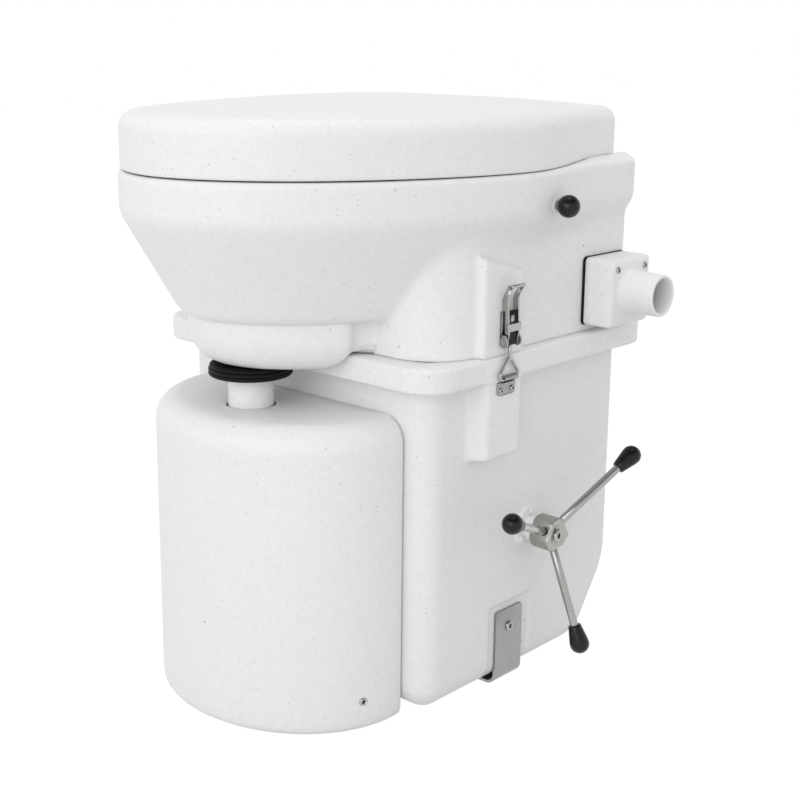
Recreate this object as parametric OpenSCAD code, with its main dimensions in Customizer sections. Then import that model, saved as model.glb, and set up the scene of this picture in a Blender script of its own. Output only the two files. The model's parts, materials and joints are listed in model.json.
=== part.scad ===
// Urine-diverting composting toilet.
// Millimetres, +Z up, front towards -Y. The origin is at floor level, midway
// between the two foot brackets, at the centre of their floor-bolt pattern.

/* [Solids tank] */
// Width of the tank across its side walls
tank_w = 304; // [270:1:370]
// Length of the tank from its front wall to its rear wall
tank_l = 279; // [240:1:340]
// Height of the tank from its underside to the top of its flange
tank_h = 312; // [270:1:380]
// Distance from the foot brackets' centre forward to the tank's front wall
tank_front = 117; // [100:1:130]
// Thickness of the moulded walls
wall = 4; // [3:0.5:5]
// Radius of the tank's upright corners
tank_corner_r = 21; // [12:1:30]
// Radius of the tank's bottom edge
tank_edge_r = 21; // [12:1:26]
// Height of the sloping face at the rear bottom edge
chamfer_h = 78; // [40:1:95]
// Length that the sloping face takes off the underside
chamfer_l = 54; // [30:1:65]
// Distance that the flange stands out from the walls
flange_out = 20; // [18:1:24]
// Height of the flange
flange_h = 21.5; // [16:0.5:28]
// Radius of the flange's corners
flange_corner_r = 32; // [22:1:40]

/* [Feet and brackets] */
// Height of the rubber feet
foot_h = 5; // [4:0.5:8]
// Radius of the rubber feet
foot_r = 12; // [9:1:16]
// Width of the foot bracket's strap
strap_w = 38; // [34:1:46]
// Thickness of the strap
strap_t = 2.5; // [2:0.5:3]
// Height of the strap on the side wall
strap_h = 70.5; // [64:0.5:85]
// Length of the floor leg, from the outer face inwards
strap_leg = 56; // [50:1:67]
// Outer radius of the strap's bend
strap_bend_r = 10; // [8:0.5:12]
// Depth of the wall's recess for the strap
recess_d = 3; // [2.5:0.5:3]
// Height of the bracket screw's axis
bracket_screw_z = 53; // [46:0.5:56]
// Spacing of the two floor bolts in one bracket
floor_bolt_gap = 22; // [18:1:24]
// Radius of the floor-bolt holes
floor_bolt_r = 3.3; // [2.5:0.1:3.5]

/* [Head] */
// Height of the seat rim's top above the tank's flange
rim_h = 149; // [124:1:180]
// Distance that the head's box stands outside the tank's side walls
head_step = 11; // [9:1:12]
// Distance that the rim stands outside the box at its widest place
rim_out = 16.5; // [12:0.5:22]
// Distance that the rim reaches forward of the tank's front wall
rim_reach = 160; // [140:1:180]
// Height of the upright band of the rim
band_h = 33; // [28:1:40]
// Height of the funnel under the band
funnel_h = 86; // [70:1:90]
// Distance that the funnel draws in over its height
funnel_in = 50; // [40:1:56]
// Distance that the pan's underside lies below the flange's top
pan_drop = 12; // [9:0.5:16]
// Radius of the pan's bottom edge
pan_edge_r = 30; // [20:1:32]

/* [Bowl and trap door] */
// Width of the seat opening
seat_w = 236; // [200:1:250]
// Distance from the trap door's axis forward to the front of the seat opening
seat_fore = 235; // [200:1:245]
// Distance from the trap door's axis back to the rear of the seat opening
seat_aft = 102; // [96:1:104]
// Thickness of the bowl
bowl_t = 3; // [2.5:0.5:4]
// Radius of the trap door's inner face about its axis
trap_r = 108; // [100:1:112]
// Thickness of the trap door
trap_t = 4; // [3:0.5:5]
// Width of the outlet that the trap door closes
outlet_w = 110; // [90:1:130]
// Length of the outlet
outlet_l = 90; // [70:1:92]
// Radius of the trap door's shaft
trap_shaft_r = 4; // [3:0.5:5]
// Radius of the ball knob
ball_r = 9.7; // [8:0.1:12]

/* [Lid] */
// Height of the lid's side up to the crown
lid_h = 46.3; // [36:0.1:56]
// Rise of the crown over the lid's edge
lid_crown = 10.8; // [6:0.1:16]
// Radius of the lid's top edge
lid_edge_r = 13.6; // [8:0.1:16]
// Width of the lid at its straight rear edge
lid_rear_w = 279; // [250:1:300]
// Gap between the rim and the lid
lid_gap = 2.6; // [2:0.1:4]

/* [Urine bottle] */
// Width of the bottle housing
housing_w = 256; // [220:1:290]
// Distance that the housing reaches forward of the tank's front wall
housing_reach = 122; // [105:1:140]
// Distance between the housing's top and the pan's underside
housing_drop = 36.5; // [30:0.5:50]
// Radius of the housing's top edge
housing_edge_r = 22; // [12:1:24]
// Distance from the tank's front wall forward to the neck's axis
neck_reach = 57; // [48:1:66]
// Outer radius of the neck
neck_r = 19.5; // [15:0.5:22]
// Radius of the neck's gasket
gasket_r = 36; // [30:0.5:36.5]

/* [Agitator and handle] */
// Height of the agitator's axis
agitator_z = 143; // [135:1:155]
// Radius of the agitator's shaft
agitator_r = 8; // [6:0.5:9]
// Distance from the paddles' tips to the nearest wall
paddle_gap = 16; // [8:1:30]
// Distance from the axis to the middle of a handle knob
spider_r = 98; // [80:1:104]
// Slant of the handle's rods away from the tank, in degrees
spider_tilt = 16.5; // [10:0.5:20]
// Radius of the handle's rods
rod_r = 3.75; // [3:0.25:4.5]
// Length of a handle knob
grip_l = 27; // [22:1:34]
// Outer radius of a handle knob
grip_r = 9; // [7:0.5:11]

/* [Vent and fan] */
// Width of the vent housing
vent_w = 62.5; // [60:0.5:66]
// Height of the vent housing
vent_h = 61.5; // [60:0.5:64]
// Distance from the head's rear wall forward to the vent's axis
vent_back = 52; // [48:1:58]
// Height of the vent's axis above the flange's top
vent_up = 37.5; // [36:0.5:42]
// Depth of the vent housing
vent_d = 28.5; // [26:0.5:34]
// Length of the spout
spout_l = 34; // [28:1:44]
// Outer radius of the spout's straight mouth
spout_r = 18.8; // [17:0.1:19.5]
// Radius of the spout's bore
spout_bore_r = 15.8; // [13:0.1:16.5]
// Side of the square fan frame
fan_w = 52; // [50:1:54]
// Depth of the fan frame
fan_d = 15; // [12:1:15]

/* [Latches and hinges] */
// Distance from the tank's front wall back to the latches' centre
latch_back = 75; // [68:1:90]
// Width of the latch lever
latch_w = 18; // [16:1:22]
// Length of the latch lever from its rivet to its tip
latch_l = 48; // [42:1:54]
// Distance of the rear hinges from the middle
rear_hinge_x = 90; // [70:1:105]
// Distance of the lid hinges from the middle
lid_hinge_x = 60; // [45:1:90]

/* [Hidden] */

$fn = 48;
fit = 0.03;     // radial gap of a fixed pin in its hole
run = 0.05;     // radial gap of a turning shaft in its bore
rest_gap = 0.3; // gap between two pieces that rest close together
eps = 0.5;      // overrun of a cut past a face

// Tank
tank_half = tank_w / 2;
y_front = -tank_front;
y_rear = y_front + tank_l;
z_floor = foot_h;
z_deck = foot_h + tank_h;
z_flange = z_deck - flange_h;
flange_half = tank_half + flange_out;
inner_half = tank_half - wall;
z_chamfer = z_floor + chamfer_h;
chamfer_wall = wall * norm([chamfer_h, chamfer_l]) / chamfer_h;

// Brackets
recess_half = tank_half - recess_d;
recess_w = 58;
recess_h = 73;
insert_r = 5;
insert_l = 10;
bracket_hole_r = 3.25;
floor_bolt_x = recess_half + strap_t - 36.5;
foot_x = tank_half - 52;
foot_inset_front = 45;
foot_inset_rear = chamfer_l + 35;

// Head
head_half = tank_half + head_step;
head_front = y_front - 2;
head_rear = y_rear - 1;
head_front_r = 50;
head_rear_r = 28;
z_rim = z_deck + rim_h;
z_band = z_rim - band_h;
z_funnel = z_band - funnel_h;
z_pan = z_deck - pan_drop;
rim_half = head_half + rim_out;
rim_front = y_front - rim_reach;
rim_mid = y_front + 103;
rim_rear = head_rear + 8;
rim_rear_half = head_half + 9;
rim_corner_r = 40;
rim_edge = 4;
lip_gap = 1.5;
lip_t = 3;
lip_h = 8;
seal_x = tank_half + 1.5;
seal_w = 5;
seal_h = 3;

// Pan
pan_in = funnel_in + 6;
pan_half = rim_half - pan_in;
pan_front = rim_front + funnel_in + 6;
pan_rear = y_front - flange_out - 2;
throat_half = pan_half - 18.5;
throat_gap = 2;
drain_r = 12;

// Bowl and trap door, whose axis runs along X
trap_y = y_front + 130;
z_trap = z_rim - 27.5;
trap_dish_half = outlet_w / 2 + 11;
trap_dish_angle = 33;
trap_arm_x = seat_w / 2 + bowl_t;
trap_arm_w = 20;
trap_hub_r = 8.5;
trap_hub_l = 12;
trap_bush_r = 6;
trap_bush_l = 19;
trap_boss_r = 10;
seat_front = trap_y - seat_fore;
seat_rear = trap_y + seat_aft;
bowl_z = z_funnel + 8;
bowl_lip = 8;
ball_x = rim_half + 11.5;

// Lid
lid_half = rim_half - 1.8;
lid_front = rim_front + 1.8;
lid_rear = rim_rear - 5.4;
lid_rear_r = 14;
lid_wall = 3.5;
z_lid = z_rim + lid_gap;
z_lid_edge = z_lid + lid_h;
bumper_r = 5;

// Lid hinge, whose axis runs along X behind the lid
lid_axis_y = lid_rear + 7.4;
z_lid_axis = z_rim + 8;
lid_barrel_r = 4.5;
lid_pin_r = 2;
lid_block_w = 16;
lid_ear_w = 8;

// Rear hinge, whose axis runs along X behind the head
rear_axis_y = head_rear + 12;
z_rear_axis = z_deck + 6;
rear_barrel_r = 5;
rear_pin_r = 2.5;
rear_hinge_w = 60;
rear_head_w = 20;

// Bottle
housing_half = housing_w / 2;
housing_rear = y_front - 1;
housing_front = y_front - housing_reach;
housing_wall = 3.5;
housing_corner_r = 6;
z_housing = z_pan - housing_drop;
neck_y = y_front - neck_reach;
neck_hole_r = neck_r + 2;
neck_wall = 3;
z_neck = z_pan - 5;
gasket_h = 10;
tray_t = 4;
tray_h = 40;
bottle_wall = 2.5;
housing_screw_z = 27;
housing_screw_turn = 18.3;

// Agitator, whose axis runs along X through the tank's middle
agitator_y = (y_front + y_rear) / 2;
paddle_r = min(tank_l / 2, agitator_z - z_floor) - wall - paddle_gap;
paddle_w = 24;
paddle_t = 6;
paddle_x = 90;
bearing_r = 20;
bearing_t = 4;
barrel_r = 12;
hub_r = 15.5;
hub_x = tank_half + 16.5;
hub_l = 17.5;
hub_web = 9;
rod_start_x = tank_half + 24;
rod_root = 11;
spider_angles = [36.5, 156.5, 276.5];
grip_mid = spider_r / cos(spider_tilt);
hub_bolt_r = 4;
seal_ring_t = 3;

// Vent and fan, whose axis runs along X
vent_y = head_rear - vent_back;
z_vent = z_deck + vent_up;
gasket_t = 2.5;
gasket_edge = 2.5;
vent_wall = 2.5;
vent_face = head_half + gasket_t + vent_d;
vent_hole_r = 22;
vent_screw_gap = 21.5;
fan_x = vent_face - vent_wall - fan_d;
fan_bore_r = fan_w / 2 - 2.5;
fan_hub_r = 10.5;
screen_t = 0.8;
intake_w = 66;
intake_d = 9;
inlet_x = head_half + gasket_t + 5.5;
inlet_r = 3.5;
socket_r = 2.8;
socket_l = 10;

// Latches
latch_y = y_front + latch_back;
latch_boss_w = 50;
latch_boss_h = 75;
lower_boss_h = 68;
latch_x = flange_half + 3.4;
z_latch = z_deck + 12.6;
latch_rivet_r = 1.5;
latch_barrel_r = 2.4;
latch_ear_y = latch_w / 2 - 1.4;
latch_strap_t = 1.5;
loop_x = flange_half + 3.6;
z_loop = z_flange + 2.1;
loop_wire_r = 1.5;
loop_half = 12.5;
z_loop_bend = z_loop + 6.4;
z_loop_top = z_loop + 17;
z_rod_top = z_latch - latch_barrel_r - 0.8;
hook_half = 10.5;

// Outlines and lofted shapes

function arc(cx, cy, r, from, to, n) =
  [for (i = [0:n]) let (a = from + (to - from) * i / n) [cx + r * cos(a), cy + r * sin(a)]];

// A rectangle with its own corner radius at the front and at the rear
function round_rect(half, front, rear, front_r, rear_r, n = 6) = concat(
  arc(half - front_r, front + front_r, front_r, -90, 0, n),
  arc(half - rear_r, rear - rear_r, rear_r, 0, 90, n),
  arc(-half + rear_r, rear - rear_r, rear_r, 90, 180, n),
  arc(-half + front_r, front + front_r, front_r, 180, 270, n)
);

function ease(t) = t * t * (3 - 2 * t);

// A superellipse in front of mid, and sides that ease in to a straight rear edge.
// The outline starts at its front centre and is the same on both sides.
function oval(half, front, mid, rear, rear_half, corner_r, power = 1.9, sides = 5) =
  let (
    nose = [for (i = [0:14]) let (a = 90 * i / 14) [
      half * pow(sin(a), 2 / power),
      mid - (mid - front) * pow(cos(a), 2 / power)
    ]],
    side = [for (i = [1:sides]) let (t = i / (sides + 1)) [
      half - (half - rear_half) * ease(t),
      mid + (rear - corner_r - mid) * t
    ]],
    right = concat(nose, side, arc(rear_half - corner_r, rear - corner_r, corner_r, 0, 90, 5)),
    left = [for (i = [len(right) - 1:-1:1]) [-right[i][0], right[i][1]]]
  )
  concat(right, left);

function scaled(outline, s, mid) = [for (p = outline) [p[0] * s, mid + (p[1] - mid) * s]];

// The triangles across a symmetric outline of n points, from one side to the other
function strip(n) =
  let (odd = n % 2, last = n - 1 + odd)
  concat(
    odd == 1 ? [[0, 1, n - 1]] : [],
    [for (k = [odd:(n + odd) / 2 - 2]) [k, k + 1, last - k - 1]],
    [for (k = [odd:(n + odd) / 2 - 2]) [k, last - k - 1, last - k]]
  );

// A closed solid through symmetric outlines of equal length, each given as [z, outline]
module loft(levels) {
  n = len(levels[0][1]);
  top = (len(levels) - 1) * n;
  polyhedron(
    points = [for (l = levels) for (p = l[1]) [p[0], p[1], l[0]]],
    faces = concat(
      strip(n),
      [for (f = strip(n)) [top + f[2], top + f[1], top + f[0]]],
      [for (k = [0:n:top - n]) for (i = [0:n - 1]) [k + i, k + n + i, k + n + (i + 1) % n]],
      [for (k = [0:n:top - n]) for (i = [0:n - 1]) [k + i, k + n + (i + 1) % n, k + (i + 1) % n]]
    )
  );
}

module plate(outline, z, h) {
  translate([0, 0, z])
    linear_extrude(h)
      polygon(outline);
}

// A cylinder along X from x1 to x2
module rod_x(y, z, r, x1, x2) {
  translate([x1, y, z])
    rotate([0, 90, 0])
      cylinder(r = r, h = x2 - x1);
}

// A cylinder between two points
module wire(a, b, r) {
  d = b - a;
  translate(a)
    rotate([0, acos(d[2] / norm(d)), atan2(d[1], d[0])])
      cylinder(r = r, h = norm(d));
}

// A box from its low corner to its high corner
module block(low, high) {
  translate(low)
    cube(high - low);
}

module both_sides() {
  children();
  mirror([1, 0, 0]) children();
}

// Turns +Z to +X about an axis through (y, z), with the first axis pointing down
module along_x(y, z) {
  translate([0, y, z])
    rotate([0, 90, 0])
      children();
}

// Tank

// Inset and height of a rounded bottom edge at an angle of 0 to 90 degrees
function edge_in(r, a) = r * (1 - sin(a));
function edge_up(r, a) = r * (1 - cos(a));
function slope(z) = chamfer_l * max(0, z_chamfer - z) / chamfer_h;

// The tank's outline at height z, for the outer face or one set in by t
function tank_outline(z, in, t) = round_rect(
  tank_half - t - in,
  y_front + t + in,
  min(y_rear - t - in, y_rear - slope(z) - (t > 0 ? chamfer_wall : 0)),
  tank_corner_r - t, tank_corner_r - t
);

module tank_body(t) {
  r = tank_edge_r - t;
  z0 = z_floor + t;
  loft(concat(
    [for (a = [0, 30, 60, 90]) let (z = z0 + edge_up(r, a)) [z, tank_outline(z, edge_in(r, a), t)]],
    [[z_chamfer, tank_outline(z_chamfer, 0, t)]],
    [[t > 0 ? z_deck + eps : z_flange + 1, tank_outline(z_deck, 0, t)]]
  ));
}

function flange_outline(in) = round_rect(
  flange_half - in, y_front - flange_out + in, y_rear + flange_out - in,
  flange_corner_r - in, flange_corner_r - in
);

module seal_ring(out, z, h, w) {
  difference() {
    plate(round_rect(out + w, y_front - (out - tank_half) - w, y_rear + (out - tank_half) + w,
                     tank_corner_r + w, tank_corner_r + w), z, h);
    plate(round_rect(out, y_front - (out - tank_half), y_rear + (out - tank_half),
                     tank_corner_r, tank_corner_r), z - eps, h + 2 * eps);
  }
}

module solids_tank() {
  color("#ececea")
    difference() {
      union() {
        difference() {
          union() {
            tank_body(0);
            loft([
              [z_flange, flange_outline(0)],
              [z_deck - 3, flange_outline(0)],
              [z_deck - 0.9, flange_outline(0.9)],
              [z_deck, flange_outline(3)]
            ]);
            both_sides()
              block([tank_half - 2, latch_y - 22.5, z_flange - lower_boss_h],
                    [flange_half, latch_y + 22.5, z_flange + 1]);
          }
          tank_body(wall);
        }
        both_sides() {
          block([recess_half - wall - 1, -recess_w / 2 - wall, z_floor + 2 * tank_edge_r / 3],
                [inner_half + 1, recess_w / 2 + wall, z_floor + recess_h + wall]);
          block([recess_half - insert_l - wall, -strap_w / 2, bracket_screw_z - 10],
                [inner_half + 1, strap_w / 2, bracket_screw_z + 10]);
        }
      }
      both_sides() {
        block([recess_half, -recess_w / 2, -eps], [tank_half + eps, recess_w / 2, z_floor + recess_h]);
        rod_x(0, bracket_screw_z, insert_r + fit, recess_half - insert_l, recess_half + eps);
        rod_x(agitator_y, agitator_z, barrel_r + fit, inner_half - eps, tank_half + eps);
        for (y = [-7.5, 7.5])
          rod_x(latch_y + y, z_flange - 8, 1.5 + fit, flange_half - 10, flange_half + eps);
      }
      for (s = [-1, 1])
        for (a = [90, 210, 330])
          rod_x(agitator_y + 16 * cos(a), agitator_z + 16 * sin(a), 1.5 + fit,
                s * tank_half - wall - eps, s * tank_half + wall + eps);
      seal_ring(seal_x, z_deck - seal_h, seal_h + eps, seal_w);
    }
}

module tank_seal() {
  color("#202020")
    seal_ring(seal_x + 0.1, z_deck - seal_h, seal_h - 0.1, seal_w - 0.2);
}

module rubber_feet() {
  color("#1c1c1c")
    both_sides()
      for (y = [y_front + foot_inset_front, y_rear - foot_inset_rear])
        translate([foot_x, y, 0]) {
          cylinder(r1 = foot_r - 1, r2 = foot_r, h = 1);
          translate([0, 0, 1]) cylinder(r = foot_r, h = foot_h - 1);
        }
}

// Foot brackets

module strap_profile() {
  outer = recess_half + strap_t;
  translate([outer - strap_t, strap_bend_r])
    square([strap_t, strap_h / 2]);
  translate([outer - strap_leg, 0])
    square([strap_leg - strap_bend_r, strap_t]);
  intersection() {
    translate([outer - strap_bend_r, strap_bend_r])
      difference() {
        circle(r = strap_bend_r);
        circle(r = strap_bend_r - strap_t);
      }
    translate([outer - strap_bend_r, 0])
      square(strap_bend_r);
  }
}

module foot_bracket_right() {
  color("#a9a9a8")
    difference() {
      union() {
        translate([0, strap_w / 2, 0])
          rotate([90, 0, 0])
            linear_extrude(strap_w)
              strap_profile();
        translate([recess_half, 0, strap_bend_r + 10])
          rotate([90, 0, 90])
            linear_extrude(strap_t)
              polygon(concat(
                [[-strap_w / 2, 0], [strap_w / 2, 0]],
                arc(strap_w / 2 - 3, strap_h - strap_bend_r - 13, 3, 0, 90, 4),
                arc(-strap_w / 2 + 3, strap_h - strap_bend_r - 13, 3, 90, 180, 4)
              ));
      }
      rod_x(0, bracket_screw_z, bracket_hole_r, recess_half - eps, recess_half + strap_t + eps);
      for (y = [-1, 1])
        translate([floor_bolt_x, y * floor_bolt_gap / 2, -eps])
          cylinder(r = floor_bolt_r, h = strap_t + 2 * eps);
    }
}

module foot_bracket_left() {
  mirror([1, 0, 0]) foot_bracket_right();
}

module bracket_screws() {
  color("#c9c9c8")
    both_sides() {
      rod_x(0, bracket_screw_z, 2.9, recess_half - insert_l + 1, recess_half + strap_t + 0.5);
      difference() {
        rod_x(0, bracket_screw_z, 5, recess_half + strap_t, recess_half + strap_t + 2.4);
        rod_x(0, bracket_screw_z, 1.8, recess_half + strap_t + 1, recess_half + strap_t + 3);
      }
    }
}

module bracket_inserts() {
  color("#c8a850")
    both_sides()
      difference() {
        rod_x(0, bracket_screw_z, insert_r, recess_half - insert_l, recess_half);
        rod_x(0, bracket_screw_z, 2.9 + fit, recess_half - insert_l - eps, recess_half + eps);
      }
}

// Bearings of the agitator

module flange_bush(x_wall, closed) {
  boss_end = hub_x - 1 - seal_ring_t;
  difference() {
    union() {
      rod_x(agitator_y, agitator_z, bearing_r, x_wall, x_wall + bearing_t);
      rod_x(agitator_y, agitator_z, barrel_r, x_wall - wall, closed ? x_wall + 9 : boss_end);
    }
    rod_x(agitator_y, agitator_z, agitator_r + run, x_wall - wall - eps,
          closed ? x_wall + 6 : boss_end + eps);
    for (a = [90, 210, 330])
      rod_x(agitator_y + 16 * cos(a), agitator_z + 16 * sin(a), 1.5 + fit,
            x_wall - eps, x_wall + bearing_t + eps);
  }
}

module bearing_flange() {
  color("#e0e0dc") flange_bush(tank_half, false);
}

module end_bush() {
  color("#e0e0dc") mirror([1, 0, 0]) flange_bush(tank_half, true);
}

module flange_screws() {
  color("#e0e0dc")
    both_sides()
      for (a = [90, 210, 330]) {
        y = agitator_y + 16 * cos(a);
        z = agitator_z + 16 * sin(a);
        rod_x(y, z, 1.5, inner_half + 0.5, tank_half + bearing_t + 0.5);
        rod_x(y, z, 2.8, tank_half + bearing_t, tank_half + bearing_t + 2);
      }
}

module shaft_seals() {
  color("#181818")
    both_sides()
      difference() {
        rod_x(agitator_y, agitator_z, barrel_r + 3, inner_half - 4, inner_half);
        rod_x(agitator_y, agitator_z, agitator_r + run, inner_half - 4 - eps, inner_half + eps);
      }
  color("#181818")
    difference() {
      rod_x(agitator_y, agitator_z, agitator_r + 2.4, hub_x - 1 - seal_ring_t, hub_x - 1);
      rod_x(agitator_y, agitator_z, agitator_r + run, tank_half, hub_x);
    }
}

// Agitator and its handle

module agitator_shaft() {
  end = hub_x + hub_l - hub_web;
  color("#b4b4b2")
    difference() {
      rod_x(agitator_y, agitator_z, agitator_r, -tank_half - 5, end);
      rod_x(agitator_y, agitator_z, hub_bolt_r + fit, end - 9, end + eps);
    }
}

module paddle(x, turn) {
  translate([x, agitator_y, agitator_z])
    rotate([turn, 0, 0])
      difference() {
        union() {
          rod_x(0, 0, agitator_r + 5, -paddle_w / 2, paddle_w / 2);
          block([-paddle_t / 2, -paddle_r, -paddle_t / 2], [paddle_t / 2, paddle_r, paddle_t / 2]);
          for (s = [-1, 1])
            block([-paddle_w / 2, s * (paddle_r - 6) - 6, -paddle_t / 2],
                  [paddle_w / 2, s * (paddle_r - 6) + 6, paddle_t / 2]);
        }
        rod_x(0, 0, agitator_r + fit, -paddle_w, paddle_w);
      }
}

module agitator_paddles() {
  color("#a8a8a6") {
    paddle(-paddle_x, 60);
    paddle(0, 0);
    paddle(paddle_x, -60);
  }
}

// The frame of one handle rod: its axis along local +Z
module on_rod(a) {
  translate([rod_start_x, agitator_y, agitator_z])
    rotate([a, 0, 0])
      rotate([-90, 0, 0])
        rotate([0, spider_tilt, 0])
          children();
}

module spider_hub() {
  color("#9c9c9a")
    difference() {
      union() {
        rod_x(agitator_y, agitator_z, hub_r - 1.5, hub_x, hub_x + hub_l);
        for (a = spider_angles)
          on_rod(a) cylinder(r = rod_r + 3, h = hub_r + 1);
      }
      rod_x(agitator_y, agitator_z, 60, hub_x + hub_l, hub_x + hub_l + 20);
      rod_x(agitator_y, agitator_z, agitator_r + fit, hub_x - eps, hub_x + hub_l - hub_web);
      rod_x(agitator_y, agitator_z, hub_bolt_r + fit, hub_x, hub_x + hub_l + eps);
      for (a = spider_angles)
        on_rod(a)
          translate([0, 0, rod_root])
            cylinder(r = rod_r + fit, h = 20);
    }
}

module spider_bolt() {
  face = hub_x + hub_l;
  color("#8c8c8a")
    difference() {
      union() {
        rod_x(agitator_y, agitator_z, hub_bolt_r, face - hub_web - 8, face + 0.5);
        rod_x(agitator_y, agitator_z, 6, face, face + 2);
      }
      block([face + 1.2, agitator_y - 0.8, agitator_z - 8], [face + 3, agitator_y + 0.8, agitator_z + 8]);
    }
}

module spider_rods() {
  color("#b6b6b4")
    for (a = spider_angles)
      on_rod(a)
        translate([0, 0, rod_root])
          cylinder(r = rod_r, h = grip_mid - rod_root);
}

module spider_collars() {
  color("#c2c2c0")
    for (a = spider_angles)
      on_rod(a)
        translate([0, 0, hub_r + 1.2])
          difference() {
            cylinder(r = rod_r + 1.4, h = 3);
            translate([0, 0, -eps]) cylinder(r = rod_r + fit, h = 4);
          }
}

module spider_knobs() {
  tip = grip_l - grip_r;
  color("#141414")
    for (a = spider_angles)
      on_rod(a)
        translate([0, 0, grip_mid - grip_l / 2])
          difference() {
            union() {
              cylinder(r1 = grip_r - 3.4, r2 = grip_r - 0.4, h = tip);
              translate([0, 0, tip]) sphere(r = grip_r);
            }
            translate([0, 0, -eps - 10]) cylinder(r = rod_r + fit, h = grip_l / 2 + 10.6 + eps);
          }
}

// Latches

module latch_keeper_right() {
  face = flange_half;
  top = z_flange + 0.5;
  color("#9e9e9c")
    difference() {
      union() {
        block([face, latch_y - 12, z_flange - 12.5], [face + 1.5, latch_y + 12, z_flange - 3]);
        block([face, latch_y - hook_half, z_flange - 4], [face + 1.5, latch_y + hook_half, z_loop]);
        translate([face + 3.3, latch_y + hook_half - 0.3, z_loop])
          rotate([90, 0, 0])
            rotate([0, 0, -14])
              rotate_extrude(angle = 206)
                translate([1.9, 0])
                  square([1.3, 2 * hook_half - 0.6]);
      }
      for (y = [-7.5, 7.5])
        rod_x(latch_y + y, z_flange - 8, 1.5 + fit, face - eps, face + 2);
    }
}

module latch_keeper_left() {
  mirror([1, 0, 0]) latch_keeper_right();
}

module keeper_screws() {
  color("#6c6c6a")
    both_sides()
      for (y = [-7.5, 7.5]) {
        rod_x(latch_y + y, z_flange - 8, 1.5, flange_half - 9, flange_half + 2);
        rod_x(latch_y + y, z_flange - 8, 2.8, flange_half + 1.5, flange_half + 2.7);
      }
}

module latch_loop_right() {
  color("#a6a6a4") {
    wire([loop_x, latch_y - loop_half, z_loop], [loop_x, latch_y + loop_half, z_loop], loop_wire_r);
    for (s = [-1, 1]) {
      corner = [loop_x, latch_y + s * loop_half, z_loop];
      bend = [loop_x, latch_y + s * loop_half, z_loop_bend];
      peak = [loop_x, latch_y, z_loop_top];
      translate(corner) sphere(r = loop_wire_r);
      translate(bend) sphere(r = loop_wire_r);
      wire(corner, bend, loop_wire_r);
      wire(bend, peak, loop_wire_r);
    }
    translate([loop_x, latch_y, z_loop_top - 1])
      cylinder(r = 1.9, h = z_rod_top - z_loop_top + 1);
  }
}

module latch_loop_left() {
  mirror([1, 0, 0]) latch_loop_right();
}

module latch_base_right() {
  face = flange_half;
  color("#8f8f8d")
    difference() {
      union() {
        block([face, latch_y - latch_w / 2, z_latch + 6.5],
              [face + 1.2, latch_y + latch_w / 2, z_latch + 24]);
        for (y = [latch_y - latch_w / 2, latch_y + latch_ear_y])
          block([face, y, z_latch - 3.5], [face + 6, y + 1.4, z_latch + 10]);
      }
      translate([latch_x, latch_y, z_latch])
        rotate([90, 0, 0])
          cylinder(r = latch_rivet_r + fit, h = 40, center = true);
    }
}

module latch_base_left() {
  mirror([1, 0, 0]) latch_base_right();
}

module latch_rivets() {
  color("#b8b8b6")
    both_sides()
      translate([latch_x, latch_y, z_latch])
        rotate([90, 0, 0]) {
          cylinder(r = latch_rivet_r, h = latch_w + 1, center = true);
          for (s = [-1, 1])
            translate([0, 0, s * (latch_w / 2 + 0.5)])
              cylinder(r = 2.6, h = 1, center = true);
        }
}

module latch_lever_right() {
  neck_w = 2 * latch_ear_y - 0.6;
  color("#a4a4a2")
    difference() {
      union() {
        translate([latch_x, latch_y, z_latch])
          rotate([90, 0, 0])
            cylinder(r = latch_barrel_r, h = neck_w, center = true);
        block([latch_x - 0.8, latch_y - neck_w / 2, z_latch],
              [latch_x - 0.8 + latch_strap_t, latch_y + neck_w / 2, z_latch + 13]);
        block([latch_x - 0.8, latch_y - latch_w / 2, z_latch + 11.8],
              [latch_x - 0.8 + latch_strap_t, latch_y + latch_w / 2, z_latch + 30]);
        translate([latch_x - 0.8, latch_y - latch_w / 2, z_latch + 29.7])
          rotate([0, 9, 0])
            cube([latch_strap_t, latch_w, latch_l - 29.7]);
      }
      translate([latch_x, latch_y, z_latch])
        rotate([90, 0, 0])
          cylinder(r = latch_rivet_r + run, h = 40, center = true);
    }
}

module latch_lever_left() {
  mirror([1, 0, 0]) latch_lever_right();
}

module latch_pad_right() {
  x = latch_x - 0.8 + latch_strap_t;
  color("#1a1a1a")
    block([x, latch_y - latch_w / 2 + 3, z_latch + 12], [x + 1, latch_y + latch_w / 2 - 3, z_latch + 27]);
}

module latch_pad_left() {
  mirror([1, 0, 0]) latch_pad_right();
}

// Rear hinge

module rear_barrel(x1, x2) {
  rod_x(rear_axis_y, z_rear_axis, rear_barrel_r, x1, x2);
}

module rear_hinge_base() {
  side = (rear_hinge_w - rear_head_w) / 2 - rest_gap;
  color("#9a9a98")
    for (s = [-1, 1])
      translate([s * rear_hinge_x, 0, 0])
        difference() {
          union() {
            block([-rear_hinge_w / 2, rear_axis_y - 8, z_deck],
                  [rear_hinge_w / 2, rear_axis_y + 5, z_deck + 1.5]);
            for (x = [-rear_hinge_w / 2, rear_hinge_w / 2 - side]) {
              rear_barrel(x, x + side);
              block([x, rear_axis_y - rear_barrel_r, z_deck + 1],
                    [x + side, rear_axis_y + rear_barrel_r, z_rear_axis]);
            }
          }
          rod_x(rear_axis_y, z_rear_axis, rear_pin_r + fit, -rear_hinge_w, rear_hinge_w);
          rod_x(rear_axis_y, z_rear_axis, rear_barrel_r + 0.4,
                -rear_head_w / 2 - rest_gap, rear_head_w / 2 + rest_gap);
        }
}

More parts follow.
